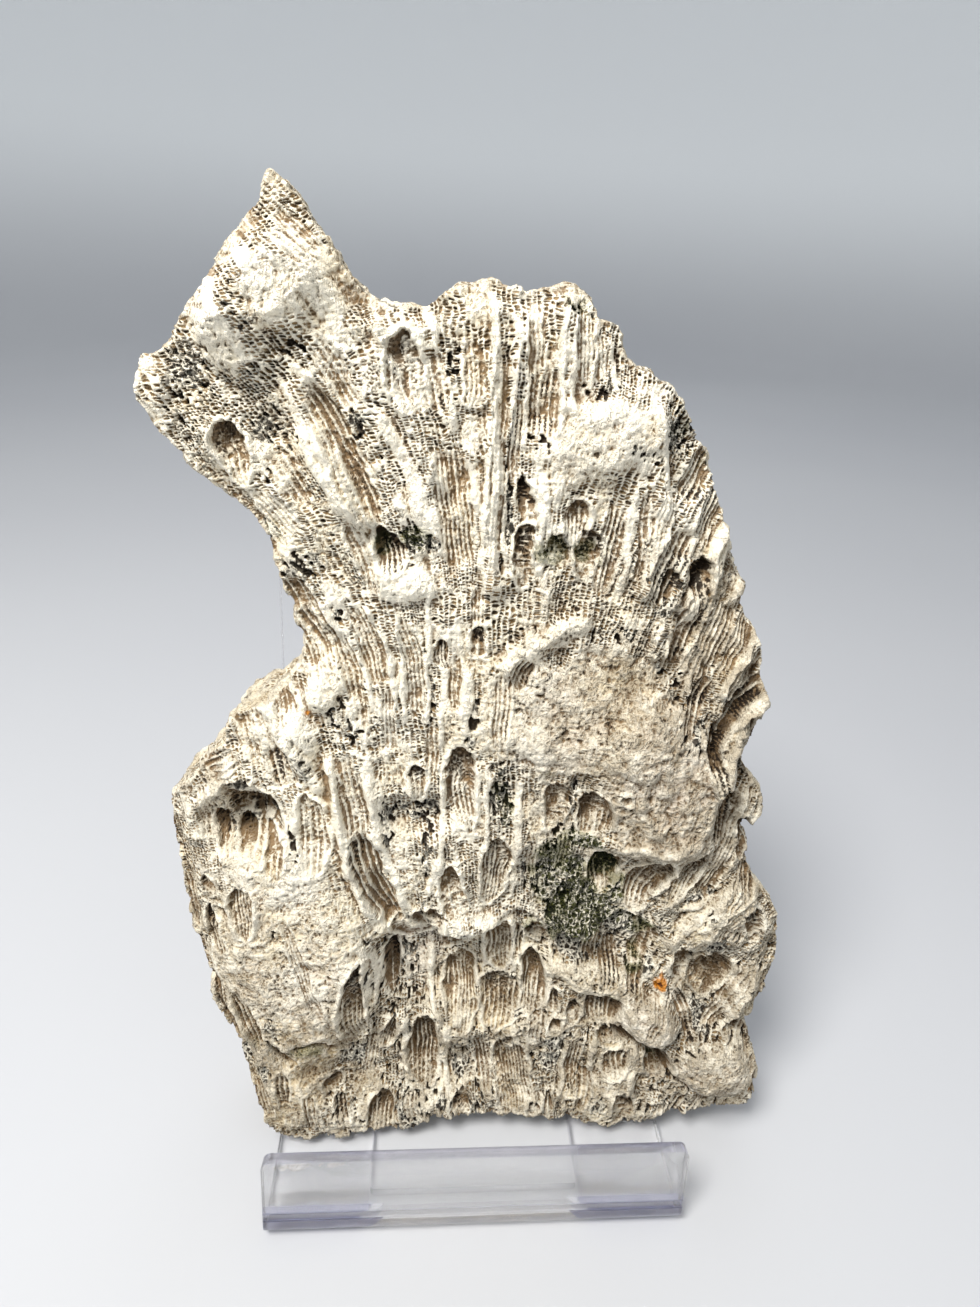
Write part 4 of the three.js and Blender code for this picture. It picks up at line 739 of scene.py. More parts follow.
def layBundle(grid, index, bundle, maps):
    points, half, lines, depth, dark = bundle
    w, u, v, along, side, length = nearPath(grid, points, half * 1.8)
    seed = 1200 + 7 * index
    wave = waves(u, v, seed)
    side = side + 0.35 * wave(4.2, 0) + 0.1 * wave(1.4, 1)
    along = along + 0.6 * wave(2.8, 2)
    share = along / length
    ends = smoothStep(-0.05, 0.12, share) * smoothStep(1.08, 0.86, share)
    width = half * (0.72 + 0.28 * smoothStep(0, 0.3, share)) * (1 - 0.25 * smoothStep(0.6, 1, share))
    away = np.abs(side) / width + 0.12 * wave(1.3, 3)
    inside = smoothStep(1.12, 0.86, away) * ends
    pitch = 2 * half / (lines + 0.4)
    shifted = side / pitch + (0.5 if lines % 2 == 0 else 0.0)
    which = np.round(shifted)
    blade = np.abs(shifted - which) * pitch
    thin = np.clip(0.08 + 0.06 * wave(2.1, 4), 0.02, 0.25)
    kept = np.clip(0.95 + 0.6 * noise(which, along / 7.0, 1.0, seed + 5), 0, 1)
    ridge = smoothStep(thin + 0.24, thin, blade) * kept * inside
    rungs = crossThreads(along, 0.37 * which + 0.3 * wave(1.7, 6), 0.1, 0.8)
    trough = depth * 1.05 * inside * (0.6 + 0.4 * np.sqrt(np.clip(1 - away ** 2, 0, 1)))
    raised = ridge * (0.35 * trough + 0.4)
    raised = raised + 0.3 * rungs * (1 - ridge) * inside * np.minimum(trough + 0.3, 1.0) * 0.8
    rim = np.exp(-((away - 1.22) / 0.18) ** 2) * ends * np.clip(0.35 + 0.8 * wave(4.0, 3), 0, 1)
    maps["depth"][w] += trough + 0.35 * inside - raised - 0.5 * rim
    raiseTo(maps["cover"], w, inside)
    # painted shade in the trough and between the septa
    raiseTo(maps["shade"], w, inside * (1 - ridge) * (0.3 + 0.35 * dark))
    hole = smoothStep(thin + 0.12, thin + 0.38, blade) * (1 - 0.75 * rungs) * inside
    raiseTo(maps["dark"], w, hole * dark * np.clip(0.5 + 0.7 * wave(3.4, 2), 0, 1))
    raiseTo(maps["white"], w, np.maximum(ridge * 0.95, rim))


def raiseWall(grid, index, wall, maps):
    points, width, rise = wall
    w, u, v, along, side, length = nearPath(grid, points, width * 1.4)
    wave = waves(u, v, 2400 + 5 * index)
    side = side + 0.6 * wave(5.0, 0) + 0.25 * wave(1.6, 1)
    share = along / length
    size = width * 0.55 * np.clip(1 + 0.45 * wave(3.6, 2), 0.4, 1.6)
    ends = smoothStep(-0.06, 0.1, share) * smoothStep(1.06, 0.9, share)
    crest = np.clip(1 - (side / size) ** 2, 0, 1) ** 0.8 * ends * np.clip(0.85 + 0.5 * wave(4.4, 3), 0, 1)
    raiseTo(maps["wall"], w, rise * 1.1 * crest)
    raiseTo(maps["white"], w, 0.85 * crest)
    raiseTo(maps["crest"], w, smoothStep(0.0, 0.5, crest))


def buildFace(step):
    grid = Grid(slab["low"], slab["high"], step)
    u, v = grid.u, grid.v
    wave, cloud = waves(u, v), lambda cell, seed: fractal(u, v, cell, seed)
    outline = catmullRom(outlineCorners, slab["outlineStep"])
    at = np.arange(len(outline)) * slab["outlineStep"]
    bite = lambda cell, seed: noise(at, at * 0, cell, seed)
    push = slab["outlineJag"] * (bite(5.3, 21) + 0.6 * bite(2.1, 22) + 0.4 * bite(0.9, 23) + 0.7)
    outline = outline - leftNormals(outline, 2) * push[:, None]

    # distance to the broken edge, and the growth, on a coarse grid
    low, high, coarse = slab["low"], slab["coarseHigh"], slab["coarseSpacing"]
    wide = Grid(low, high, coarse)
    edge = distanceInside(np.stack([wide.u.ravel(), wide.v.ravel()], 1), outline).reshape(wide.u.shape)
    edge = grid.fromCoarse(edge, low, coarse)
    lines = [grid.fromCoarse(values, low, coarse) for values in traceGrowth(low, high, coarse)]
    streak = lambda cellAcross, cellAlong, seed: growthNoise(lines, cellAcross, cellAlong, seed)

    zones = {}
    ragged = 0.35 * cloud(7.0, 31) + 0.1 * wave(1.3, 35)
    for name, entries in patches.items():
        zone = grid.zeros()
        for entry in entries:
            ellipse(grid, zone, entry, 0.5, np.maximum)
        zones[name] = np.clip(zone + ragged * smoothStep(0, 0.3, zone), 0, 1.7)
    smooth = smoothStep(0.25, 0.75, zones["smooth"])
    porous = zones["porous"]

    # broad forms
    relief = grid.zeros()
    for entry in lumps:
        ellipse(grid, relief, entry, 0.45, np.add)
    for points, width, rise in seams:
        seam(grid, relief, points, width, rise)
    ledge = 63 + 3 * np.sin(u * 0.22) + 2 * noise(u, u * 0, 9, 5)
    hollow = -2.6 * smoothStep(-30, -22, u) * smoothStep(50, 38, u)
    relief += hollow * smoothStep(ledge + 1.2, ledge - 1.6, v) * smoothStep(24, 50, v)
    relief -= 3 * (np.maximum(0, (u - 26) / 22) * smoothStep(125, 160, v)) ** 2
    relief -= 3 * (np.maximum(0, (-52 - u) / 18) * smoothStep(118, 96, v)) ** 2
    relief += 1.0 * cloud(11.0, 51) + 0.6 * cloud(5.0, 55)
    relief += 0.5 * (0.5 - np.abs(wave(7.0, 57))) + 0.3 * (0.5 - np.abs(wave(3.3, 58)))
    foot = smoothStep(20, 5, v)  # the foot stands forward on the shelf
    forward = 0.9 + 1.3 * smoothStep(-22, -40, u) + 0.5 * smoothStep(30, 42, u)
    relief = relief * (1 - 0.85 * foot) + foot * forward
    height = slab["thickness"] + slab["reliefScale"] * relief

    # solid ribs run with the growth, and the stone between them is porous
    strand = streak(5.2, 34, 61) + 0.55 * streak(2.4, 19, 62)
    strand = strand + 0.3 * streak(1.2, 9, 63)
    lower = smoothStep(72, 58, v)  # below the ledge the stone is more broken up
    calm = (1 - 0.75 * smooth) * (1 - 0.5 * lower)
    height += 0.75 * strand * calm
    height += (0.9 * cloud(5.5, 65) + 0.6 * wave(3.6, 66)) * lower * (1 - 0.6 * smooth)
    solid = smoothStep(0.05, 0.55, strand + 0.25 * wave(3.0, 64))

    # walls, bundles and cups, then the net between them
    maps = {name: grid.zeros() for name in ("depth", "dark", "shade", "cover", "white", "wall", "crest")}
    for shape, entries in ((raiseWall, walls), (layBundle, bundles), (cutCup, cups)):
        for k, entry in enumerate(entries):
            shape(grid, k, entry, maps)
    column, row, sure = latticePlaces(grid, lines)
    pores, wall = netOfPores(column, row)
    crest = maps["crest"] * (1 - maps["cover"])
    clear = (1 - 0.93 * maps["cover"]) * (1 - 0.85 * crest)
    crust = smoothStep(0.0, 0.5, cloud(7.0, 91) + 0.35 * wave(2.2, 94) + 0.25 * solid - 0.55 * porous)
    patch = 0.85 - 0.85 * crust + 0.4 * porous
    netAmount = np.clip((1 - 0.95 * smooth) * clear * patch, 0, 1.5)
    ribs = (wall ** 3) * (0.25 + 0.3 * wave(5.0, 93)) * clear * calm
    shallow = 1 - 0.6 * smoothStep(10, 4, v) * smoothStep(4.5, 1.5, edge)  # where it meets the bottom edge
    height = height + shallow * (ribs - maps["depth"] + maps["wall"] * (1 - 0.8 * maps["cover"]))
    height -= lattice["poreDepth"] * netAmount * pores

    # sponge: irregular openings a millimetre or two wide
    spongy = np.clip(zones["spongy"] + 0.35 * lower * (1 - smooth) + 0.25 * porous, 0, 1.3) * clear
    rotten = np.clip(zones["green"], 0, 1) * clear * (1 - 0.7 * smooth)  # eaten through where algae sit
    holes = streak(0.8, 1.5, 67) + 0.45 * wave(0.65, 68)
    sponge = smoothStep(0.22, 0.46, holes - 0.34 * (1 - np.clip(spongy, 0, 1)) + 0.38 * rotten)
    sponge = sponge * smoothStep(0.1, 0.4, np.maximum(spongy, 1.4 * rotten))
    height -= (1.2 + 0.5 * rotten) * sponge

    # crumbly stone: pits of several sizes, drawn out along the growth
    clusters = 0.5 + 0.7 * cloud(9.0, 98) + 0.4 * porous
    pitted = np.clip((0.35 + 0.4 * smooth) * clear * clusters, 0, 1.3)
    pits = smoothStep(0.45, 0.8, streak(0.85, 1.4, 96) + 0.35 * wave(0.7, 95)) * pitted
    finePits = smoothStep(0.25, 0.7, wave(0.7, 97)) * np.clip(pitted + 0.4, 0, 1)
    height -= 0.65 * pits + 0.32 * finePits
    crumble = 1 - np.abs(wave(1.3, 104)) - 0.6 * np.abs(wave(0.75, 105))
    height += 0.42 * cloud(2.8, 101) + 0.34 * crumble

    # the face falls back at its broken edge
    height -= slab["rimDrop"] * (1 - smoothStep(0, slab["rimWidth"], edge - 1.0)) * (1 - 0.75 * foot)
    print("face", grid.u.shape, "height", round(float(height.min()), 2), round(float(height.max()), 2))

    # painted shade: what lies deeper than its surroundings is darker; pits, sponge openings and pores are
    # darkened with painted shade and dirt
    below = lambda width: blur(height, max(1, int(round(width / step / 2)))) - height
    near, middle, far = below(1.0), below(3.0), below(9.0)
    dark = np.maximum(maps["dark"], 0.7 * pits * (1 - 0.3 * smooth))
    dark = np.maximum(dark, sponge * (0.72 + 0.3 * wave(3.1, 69) + 0.4 * rotten))
    dark = np.clip(np.maximum(dark, 0.4 * finePits), 0, 1)
    cavity = np.clip(0.55 * near / 0.35, -0.5, 1) + np.clip(0.35 * middle / 0.8, -0.4, 0.8)
    cavity = cavity + np.clip(0.25 * far / 2.0, -0.3, 0.6)
    white = np.clip(maps["white"] + 0.5 * solid * (1 - smooth), 0, 1)
    net = np.clip(netAmount * (0.7 + 0.4 * porous), 0, 1) * sure
    recess = 0.8 * smoothStep(0.2, 2.4, far) + 0.5 * smoothStep(0.15, 1.2, middle)
    shade = np.maximum(np.maximum(maps["shade"], 0.5 * net * pores), recess * (1 - 0.5 * white))

    # partly painted shade and light, partly dust: the stone is duller to the right, along the foot and at the
    # lower left edge, and whiter higher up where it is not
    right = 0.95 * smoothStep(-15, 38, u) * smoothStep(175, 125, v) * (1 - 0.4 * np.exp(-((v - 66) / 16) ** 2))
    left = 0.55 * smoothStep(-42, -70, u) * smoothStep(170, 130, v)
    dustAndShade = np.maximum(right, 0.85 * smoothStep(66, 22, v)) + left
    dustAndShade = dustAndShade + 0.35 * smoothStep(36, 58, u) * smoothStep(185, 150, v) * smoothStep(60, 90, v)
    dustAndShade = dustAndShade * (1 + 0.45 * cloud(13.0, 108))
    shade = shade + 0.25 * dustAndShade * (1 - 0.4 * white)
    white = white + 0.5 * np.clip(1 - dustAndShade, 0, 1) * smoothStep(60, 110, v)
    island = smoothStep(-0.35, 0.25, cloud(4.2, 107) + 0.3 * rotten)  # scraps of crust stay whole
    skeleton = np.clip(np.maximum(0.62 * spongy, 1.1 * rotten), 0, 1) * island * (1 - 0.6 * crest) * clear
    tones = {**zones, "dark": dark, "cavity": cavity * 0.5 + 0.3, "shade": shade, "white": white,
             "skeleton": skeleton, "dustAndShade": dustAndShade, "none": 0 * dark}
    return grid, edge, height, tones, np.stack([column, row, net], -1)


def onSlice(u, v, depth):
    # a point of the slice in the part's frame, from the sawn back (depth 0) to the face
    lean, thickness = sheet["backrestLean"], slab["thickness"]
    share = 1 - np.clip(v / slab["levelBase"], 0, 1)
    level = np.maximum(v, 0) + (thickness - depth) * math.tan(lean) * share
    backY = slab["faceSetback"] + thickness * math.cos(lean) + frontY
    backZ = sheet["thickness"] + slab["gap"] - thickness * math.sin(lean)
    y = backY + level * math.sin(lean) - depth * math.cos(lean)
    z = backZ + level * math.cos(lean) + depth * math.sin(lean)
    return np.stack([u + middleX, y, z], -1)


def largestPatch(cellsKept):
    # the one connected patch round the middle, without holes or corner-to-corner touches
    def spread(seed, allowed):
        grown = seed & allowed
        while True:
            wider = grown.copy()
            wider[1:] |= grown[:-1]
            wider[:-1] |= grown[1:]
            wider[:, 1:] |= grown[:, :-1]
            wider[:, :-1] |= grown[:, 1:]
            wider &= allowed
            if wider.sum() == grown.sum():
                return grown
            grown = wider

    seed = np.zeros_like(cellsKept)
    seed[cellsKept.shape[0] // 2, cellsKept.shape[1] // 2] = True
    kept = spread(seed, cellsKept)
    rim = np.zeros_like(kept)
    rim[0], rim[-1], rim[:, 0], rim[:, -1] = True, True, True, True
    kept = ~spread(rim, ~kept)
    while True:
        a, b, c, d = kept[:-1, :-1], kept[:-1, 1:], kept[1:, :-1], kept[1:, 1:]
        pinch = (a & d & ~b & ~c) | (b & c & ~a & ~d)
        if not pinch.any():
            return kept
        for cells in (a, b, c, d):
            cells |= pinch


def boundaryLoop(kept):
    # grid corners round the kept cells, anticlockwise, each with the row of the cell beside its next edge
    following, rowOf = {}, {}
    padded = np.pad(kept, 1)
    enclosed = padded[:-2, 1:-1] & padded[2:, 1:-1] & padded[1:-1, :-2] & padded[1:-1, 2:]
    # for each side of a cell: the neighbour, then the side's two corners, as steps of row and column
    sides = ((0, 1, 0, 0, 0, 1), (1, 2, 0, 1, 1, 1), (2, 1, 1, 1, 1, 0), (1, 0, 1, 0, 0, 0))
    for j, i in np.argwhere(kept & ~enclosed).tolist():
        for beyondJ, beyondI, startJ, startI, endJ, endI in sides:
            if not padded[j + beyondJ, i + beyondI]:
                following[(j + startJ, i + startI)] = (j + endJ, i + endI)
                rowOf[(j + startJ, i + startI)] = j
    start = next(iter(following))
    loop, at = [start], following[start]
    while at != start:
        loop.append(at)
        at = following[at]
    return np.array(loop), np.array([rowOf[c] for c in loop])


def smoothLoop(values, passes):
    for _ in range(passes):
        values = 0.5 * values + 0.25 * (np.roll(values, 1, 0) + np.roll(values, -1, 0))
    return values


def sideRing(r, run, front):
    # one ring of the broken edge: its depth, how far it steps in, the painted shade of its hollows and its net
    # of pores
    rings = slab["sideRings"]
    share = (r / rings) ** 1.15
    depth = front * (1 - share)
    wave = waves(run, depth)
    inset = 0.5 * smoothStep(0.15, 0.5, share) - 0.75 * smoothStep(0, 0.12, share)
    inset = inset - 0.3 * smoothStep(0.6, 0.85, share) + 1.9 * smoothStep(0.93, 1.0, share)
    rough = 0.9 * wave(6.0, 121) + 0.5 * wave(2.6, 122) + 0.3 * wave(1.1, 123)
    pit = smoothStep(0.25, 0.75, wave(2.4, 124)) * smoothStep(-0.3, 0.4, wave(9.0, 125))
    columns = run / 1.1 + 0.9 * wave(5.2, 127) + 0.4 * wave(2.1, 129)
    rungs = depth / 0.85 + 1.1 * wave(4.4, 128) + 0.5 * wave(1.9, 130)
    open = np.clip(0.35 + 1.1 * wave(8.0, 126), 0, 0.9) * (2 <= r <= rings - 2)
    inset = inset + (rough + 0.8 * pit + 0.2) * smoothStep(0, 0.15, share) * smoothStep(1.0, 0.9, share)
    hollows = [np.clip(0.55 * pit + 0.2 * np.clip(rough, 0, 1), 0, 1), np.clip(0.4 * rough + 0.2, 0, 1)]
    shape = np.stack(hollows, 1) if r < rings else np.tile([0.0, 0.3], (len(run), 1))
    return depth, inset, shape, np.stack([columns, rungs, open], 1)


def buildCoral(step):
    grid, edge, height, face, weave = buildFace(step)
    u, v = grid.u.copy(), grid.v.copy()
    edge = edge + 0.35 * noise(u, v, 2.1, 111) + 0.2 * noise(u, v, 0.9, 112)
    inside = edge > slab["rimInset"] + 0.35 * step
    kept = largestPatch(inside[:-1, :-1] & inside[1:, :-1] & inside[:-1, 1:] & inside[1:, 1:])
    loop, loopRow = boundaryLoop(kept)
    lj, li = loop[:, 0], loop[:, 1]

    # the staircase of the grid's edge slides onto the real outline
    slopeV, slopeU = np.gradient(edge, step)
    steep = np.maximum(slopeU ** 2 + slopeV ** 2, 0.2)
    rim = np.stack([u[lj, li], v[lj, li]], 1)
    slope = np.stack([slopeU[lj, li], slopeV[lj, li]], 1)
    away = (edge[lj, li] - slab["rimInset"])[:, None] * slope / steep[lj, li][:, None]
    away *= np.minimum(1, 1.2 * step / np.maximum(np.linalg.norm(away, axis=1), 1e-9))[:, None]
    rim = smoothLoop(rim - away, 3)
    u[lj, li], v[lj, li] = rim[:, 0], rim[:, 1]

    # the broken edge goes back in rings to the sawn back
    count, rings = len(loop), slab["sideRings"]
    normal = smoothLoop(leftNormals(rim, 4), 12)
    run = np.concatenate([[0], np.cumsum(np.linalg.norm(np.diff(rim, axis=0), axis=1))])
    run *= round(run[-1] / 8) * 8 / run[-1]
    positions, sides, sideWeave = [onSlice(u, v, height).reshape(-1, 3)], [], []
    for r in range(1, rings + 1):
        depth, inset, shape, net = sideRing(r, run, height[lj, li])
        ring = rim + normal * inset[:, None]
        positions.append(onSlice(ring[:, 0], ring[:, 1], depth))
        sides.append(shape)
        sideWeave.append(net)
    positions, sides = np.concatenate(positions), np.concatenate(sides)

    # tones carried by every corner, each with what continues it down the broken edge
    corner = lj * grid.u.shape[1] + li
    blank = np.zeros(len(sides))
    fading = lambda name: np.concatenate(
        [np.clip(face[name], 0, 1)[lj, li] * 0.6 * (1 - r / rings) for r in range(1, rings + 1)])
    carry = lambda *pairs: np.stack(
        [np.concatenate([np.clip(face[name], 0, 1).reshape(-1), blank + side]) for name, side in pairs], 1)
    sawn = np.repeat(np.arange(1, rings + 1) == rings, count)
    tones = {
        "hollows": carry(("dark", sides[:, 0]), ("cavity", sides[:, 1]), ("shade", 0)),
        "tints": carry(("tan", 0.3), ("white", 0), ("grey", 0.2)),
        "weave": np.concatenate([weave.reshape(-1, 3)] + sideWeave),
        "skeleton": carry(("skeleton", 0), ("dustAndShade", 0.4), ("none", 0)),
        "stains": carry(("green", fading("green")), ("rust", fading("rust")), ("none", sawn)),
    }
    tones["weave"][corner, 2] = 0  # the face's net and the broken edge's net don't meet

    # level bands, each closed where it meets the next
    rows, columns = grid.u.shape
    cutRows = [0]
    for cut in slab["cuts"]:
        row = int(round((cut - slab["low"][1]) / step))
        for tried in sorted(range(row - 30, row + 31), key=lambda r: abs(r - row)):
            above = loopRow >= tried
            if (above != np.roll(above, 1)).sum() == 2:
                cutRows.append(tried)
                break
    cutRows.append(rows)
    ringStart = lambda r, at: corner[at] if r == 0 else grid.u.size + (r - 1) * count + at
    pieces = []
    for low, high in zip(cutRows, cutRows[1:]):
        j, i = np.nonzero(kept[low:high])
        a = (j + low) * columns + i
        quads = [np.stack([a, a + 1, a + 1 + columns, a + columns], 1)]
        mine = (loopRow >= low) & (loopRow < high)
        here = np.nonzero(mine)[0]
        ahead = (here + 1) % count
        for r in range(rings):
            corners = [ringStart(r, here), ringStart(r + 1, here), ringStart(r + 1, ahead), ringStart(r, ahead)]
            quads.append(np.stack(corners, 1))
        # arcs of the loop that belong to this band, for the back and the cuts
        back = []
        for start in [n for n in here if not mine[n - 1]]:
            back.append(start)
            while mine[back[-1] % count]:
                back.append(back[-1] + 1)
        back = [ringStart(rings, n % count) for n in back]
        caps = []
        for j in (low, high):
            ends = [n for n in range(count) if lj[n] == j and (loopRow[n] >= j) != (loopRow[n - 1] >= j)]
            if len(ends) != 2:
                continue
            left, right = sorted(ends, key=lambda n: li[n])
            cap = [j * columns + i for i in range(li[left], li[right] + 1)]
            cap += [ringStart(r, right) for r in range(1, rings + 1)]
            cap += [ringStart(r, left) for r in range(rings, 0, -1)]
            caps.append(cap if j == high else cap[::-1])
        pieces.append((np.concatenate(quads), [back[::-1]] + caps))
    return positions, tones, pieces


class Wire:
    # one output of a node, so that shader maths reads as plain arithmetic
    def __init__(self, shader, socket):
        self.shader, self.socket = shader, socket

    def math(self, operation, *inputs, clamp=False):
        settings = {"operation": operation, "use_clamp": clamp}
        return self.shader.node("ShaderNodeMath", settings, dict(enumerate(inputs)))

    def __add__(self, other): return self.math("ADD", self, other)
    def __radd__(self, other): return self.math("ADD", other, self)
    def __sub__(self, other): return self.math("SUBTRACT", self, other)
    def __rsub__(self, other): return self.math("SUBTRACT", other, self)
    def __mul__(self, other): return self.math("MULTIPLY", self, other)
    def __rmul__(self, other): return self.math("MULTIPLY", other, self)
    def __truediv__(self, other): return self.math("DIVIDE", self, other)
    def __pow__(self, other): return self.math("POWER", self, other)
    def __abs__(self): return self.math("ABSOLUTE", self, 0.0)
    def floor(self): return self.math("FLOOR", self, 0.0)


class Nodes:
    def __init__(self, tree):
        self.tree = tree
        self.tree.nodes.clear()

    def node(self, kind, settings=None, inputs=None, output=0):
        made = self.tree.nodes.new(kind)
        for name, value in (settings or {}).items():
            setattr(made, name, value)
        for name, value in (inputs or {}).items():
            if isinstance(value, Wire):
                self.tree.links.new(value.socket, made.inputs[name])
            else:
                made.inputs[name].default_value = value
        return None if output is None else Wire(self, made.outputs[output])


class Shader(Nodes):
    def __init__(self, name):
        self.material = bpy.data.materials.new(name)
        self.material.use_nodes = True
        super().__init__(self.material.node_tree)

    def parts(self, vector, kind="ShaderNodeSeparateXYZ"):
        outputs = self.node(kind, {}, {0: vector}).socket.node.outputs
        return [Wire(self, outputs[k]) for k in range(3)]

    def mix(self, factor, first, second, blend="MIX"):
        colour = lambda c: (*c, 1) if isinstance(c, tuple) else c
        return self.node("ShaderNodeMix", {"data_type": "RGBA", "blend_type": blend, "clamp_factor": True},
                         {0: factor, 6: colour(first), 7: colour(second)}, output=2)

    def between(self, value, low, high):
        settings = {"interpolation_type": "SMOOTHSTEP"}
        return self.node("ShaderNodeMapRange", settings, {0: value, 1: low, 2: high})

    def noise(self, place, scale, detail=2.0, roughness=0.5, distortion=0.0, output=0):
        return self.node("ShaderNodeTexNoise", {}, {
            "Vector": place, "Scale": scale, "Detail": detail,
            "Roughness": roughness, "Distortion": distortion}, output)

    def cracks(self, place, size):
        # how far each spot lies from the edge of its cell; the cells are so many millimetres across
        settings = {"feature": "DISTANCE_TO_EDGE"}
        return self.node("ShaderNodeTexVoronoi", settings, {"Vector": place, "Scale": 1000 / size})

    def principled(self, inputs):
        return self.node("ShaderNodeBsdfPrincipled", {}, inputs)

    def finish(self, surface, volume=None):
        out = self.tree.nodes.new("ShaderNodeOutputMaterial")
        self.tree.links.new(surface.socket, out.inputs["Surface"])
        if volume is not None:
            self.tree.links.new(volume.socket, out.inputs["Volume"])
        return self.material


def linear(red, green, blue):
    # a colour as a paint chart gives it, 0..255, to the shader's numbers
    return tuple(((c / 255 + 0.055) / 1.055) ** 2.4 if c > 10 else c / 255 / 12.92 for c in (red, green, blue))


coralFinish = {
    "cream": linear(229, 213, 178),
    "pale": linear(250, 244, 227),
    "tan": linear(214, 187, 132),
    "greyLilac": linear(208, 195, 184),
    "shade": linear(170, 148, 120),
    # grey multiplied in for dust and painted shade
    "dustAndShade": linear(202, 197, 190),
    # brown of painted shade in hollows, and of crumbs of grime
    "grimeAndShade": linear(126, 99, 64),
    "hollow": linear(158, 130, 88),
    "pore": linear(40, 31, 23),
    "algae": linear(20, 24, 9),
    "algaeThin": linear(112, 114, 58),
    "rust": linear(222, 142, 38),
    "rustDark": linear(74, 26, 10),
    "roughness": 0.92,
    "lace": 0.95,  # mm across one mesh of the crust's finest net
    "mesh": 1.35,  # mm across one gap of the bare skeleton
    "stretch": 0.62,  # the net's cells are longer upwards
    "drift": 0.0012,  # metres that the nets waver by
    "backColumns": 740,  # in a metre of the sawn back
    "backRows": 900,
}


def makeCoralFinish():
    s = Shader("weathered_fossil_coral")
    look = coralFinish
    place = s.node("ShaderNodeTexCoord", output=3)
    carried = lambda name: s.parts(s.node(
        "ShaderNodeAttribute", {"attribute_type": "GEOMETRY", "attribute_name": name}, output=1))
    pores, cavity, shade = carried("hollows")
    tan, white, grey = carried("tints")
    green, rust, sawn = carried("stains")
    column, row, net = carried("weave")
    skeleton, dustAndShade = carried("skeleton")[:2]
    broad = s.noise(place, 60.0, 3.0)  # patches of a centimetre or two
    blotch = s.noise(place, 260.0, 4.0, 0.6)  # a few millimetres
    grain = s.noise(place, 1700.0, 3.0, 0.7)  # crumbs
    speck = s.noise(place, 3400.0, 2.0)

    # the sawn back shows the same net in straight columns
    x, _, z = s.parts(place)
    onBack = s.between(sawn, 0.98, 0.999)
    flat = 1 - onBack
    column = column * flat + (x * look["backColumns"] + (blotch - 0.5) * 2.2) * onBack
    row = row * flat + (z * look["backRows"] + (grain - 0.5) * 1.2) * onBack
    net = net * flat + s.between(blotch + (broad - 0.5) * 0.8, 0.42, 0.62) * onBack * 0.8

    def draw(first, second, salt):
        a, b, scale = lattice["draw"]
        angle = first * a + second * b + salt
        wave = angle.math("SINE", angle) * scale
        return wave.math("FRACT", wave)

    which = column.floor()
    row = row * (draw(which, 0.0, 0.3) * 0.45 + 0.8) + draw(which, 0.0, 1.7) * 9
    rung = row.floor()
    odds = lambda salt: draw(which, rung, salt)
    side = abs((column - which - 0.5 + (odds(2.1) - 0.5) * 0.25) / (odds(3.3) * 0.18 + 0.28))
    level = abs((row - rung - 0.5 + (odds(4.6) - 0.5) * 0.25) / (odds(5.2) * 0.19 + 0.24))
    longest = side.math("MAXIMUM", side, level)
    away = (side ** 2 + level ** 2) ** 0.5 * 0.6 + longest * 0.4 + (speck - 0.5) * 0.5
    present = 1 - side.math("GREATER_THAN", odds(6.9), lattice["fill"])
    opening = (1 - s.between(away, 0.78, 1.08)) * present * s.between(net + (grain - 0.5) * 0.5, 0.12, 0.5)
    thread = s.between(away, 0.95, 1.25) * s.between(net, 0.15, 0.6)
    depth = odds(7.7)

    # a lace of thin ridges round tiny pits, finer than the mesh
    vectors = lambda operation, *inputs: s.node(
        "ShaderNodeVectorMath", {"operation": operation}, dict(enumerate(inputs)))
    drift = s.noise(place, 700.0, output=1)
    pushed = vectors("MULTIPLY_ADD", drift, (look["drift"],) * 3, place)
    stretched = vectors("MULTIPLY", pushed, (1.0, 1.0, look["stretch"]))
    ridge = 1 - s.between(s.cracks(stretched, look["lace"]), 0.04, 0.28)  # 1 on a thread of the lace
    laced = s.between(blotch, 0.3, 0.56)  # it comes and goes
    pitting = (1 - ridge) * laced

    colour = s.mix(s.between(broad, 0.35, 0.7), look["cream"], look["pale"])
    colour = s.mix(grey * 0.75 + (blotch - 0.5) * 0.3, colour, look["greyLilac"])
    warm = (tan * 0.85 + s.between(blotch, 0.46, 0.72) * 0.45) * s.between(broad, 0.2, 0.6)
    colour = s.mix(warm, colour, look["tan"])
    colour = s.mix(shade * (0.45 + blotch * 0.6), colour, look["shade"])
    # painted shade: hollows of the mesh and the lace's tiny pits darken towards brown
    deep = s.between(cavity + (grain - 0.5) * 0.55 + pitting * 0.26, 0.3, 0.86)
    colour = s.mix(deep * 0.9, colour, look["grimeAndShade"])
    # painted light: raised spots are paler
    proudLit = (1 - s.between(cavity, 0.05, 0.3)) * 0.6
    colour = s.mix(proudLit * (1 - deep), colour, look["pale"])
    colour = s.mix(white * 0.75 * (1 - deep), colour, look["pale"])
    colour = s.mix((ridge * laced * 0.4 + thread * 0.5) * (1 - deep * 0.7), colour, look["pale"])
    # painted shade and dirt: pores and the net's openings are dark, the deeper the darker
    hole = s.between(pores + (grain - 0.5) * 0.4 + pitting * 0.14, 0.24, 0.56)
    within = s.mix(s.between(depth + cavity * 0.5, 0.5, 1.3), look["hollow"], look["pore"])
    colour = s.mix(opening * 0.9, colour, within)
    colour = s.mix(hole * 0.93, colour, look["pore"])
    crumbs = s.between(grain + (blotch - 0.5) * 0.25, 0.52, 0.7) * 0.5
    colour = s.mix(crumbs * (1 - hole), colour, look["grimeAndShade"])
    # dust and painted shade: duller to the right, along the foot and at the lower left edge
    dustAndShadeAmount = dustAndShade * (0.1 + s.between(blotch + (grain - 0.5) * 0.5, 0.3, 0.66) * 1.5)
    colour = s.mix(dustAndShadeAmount, colour, look["dustAndShade"], "MULTIPLY")
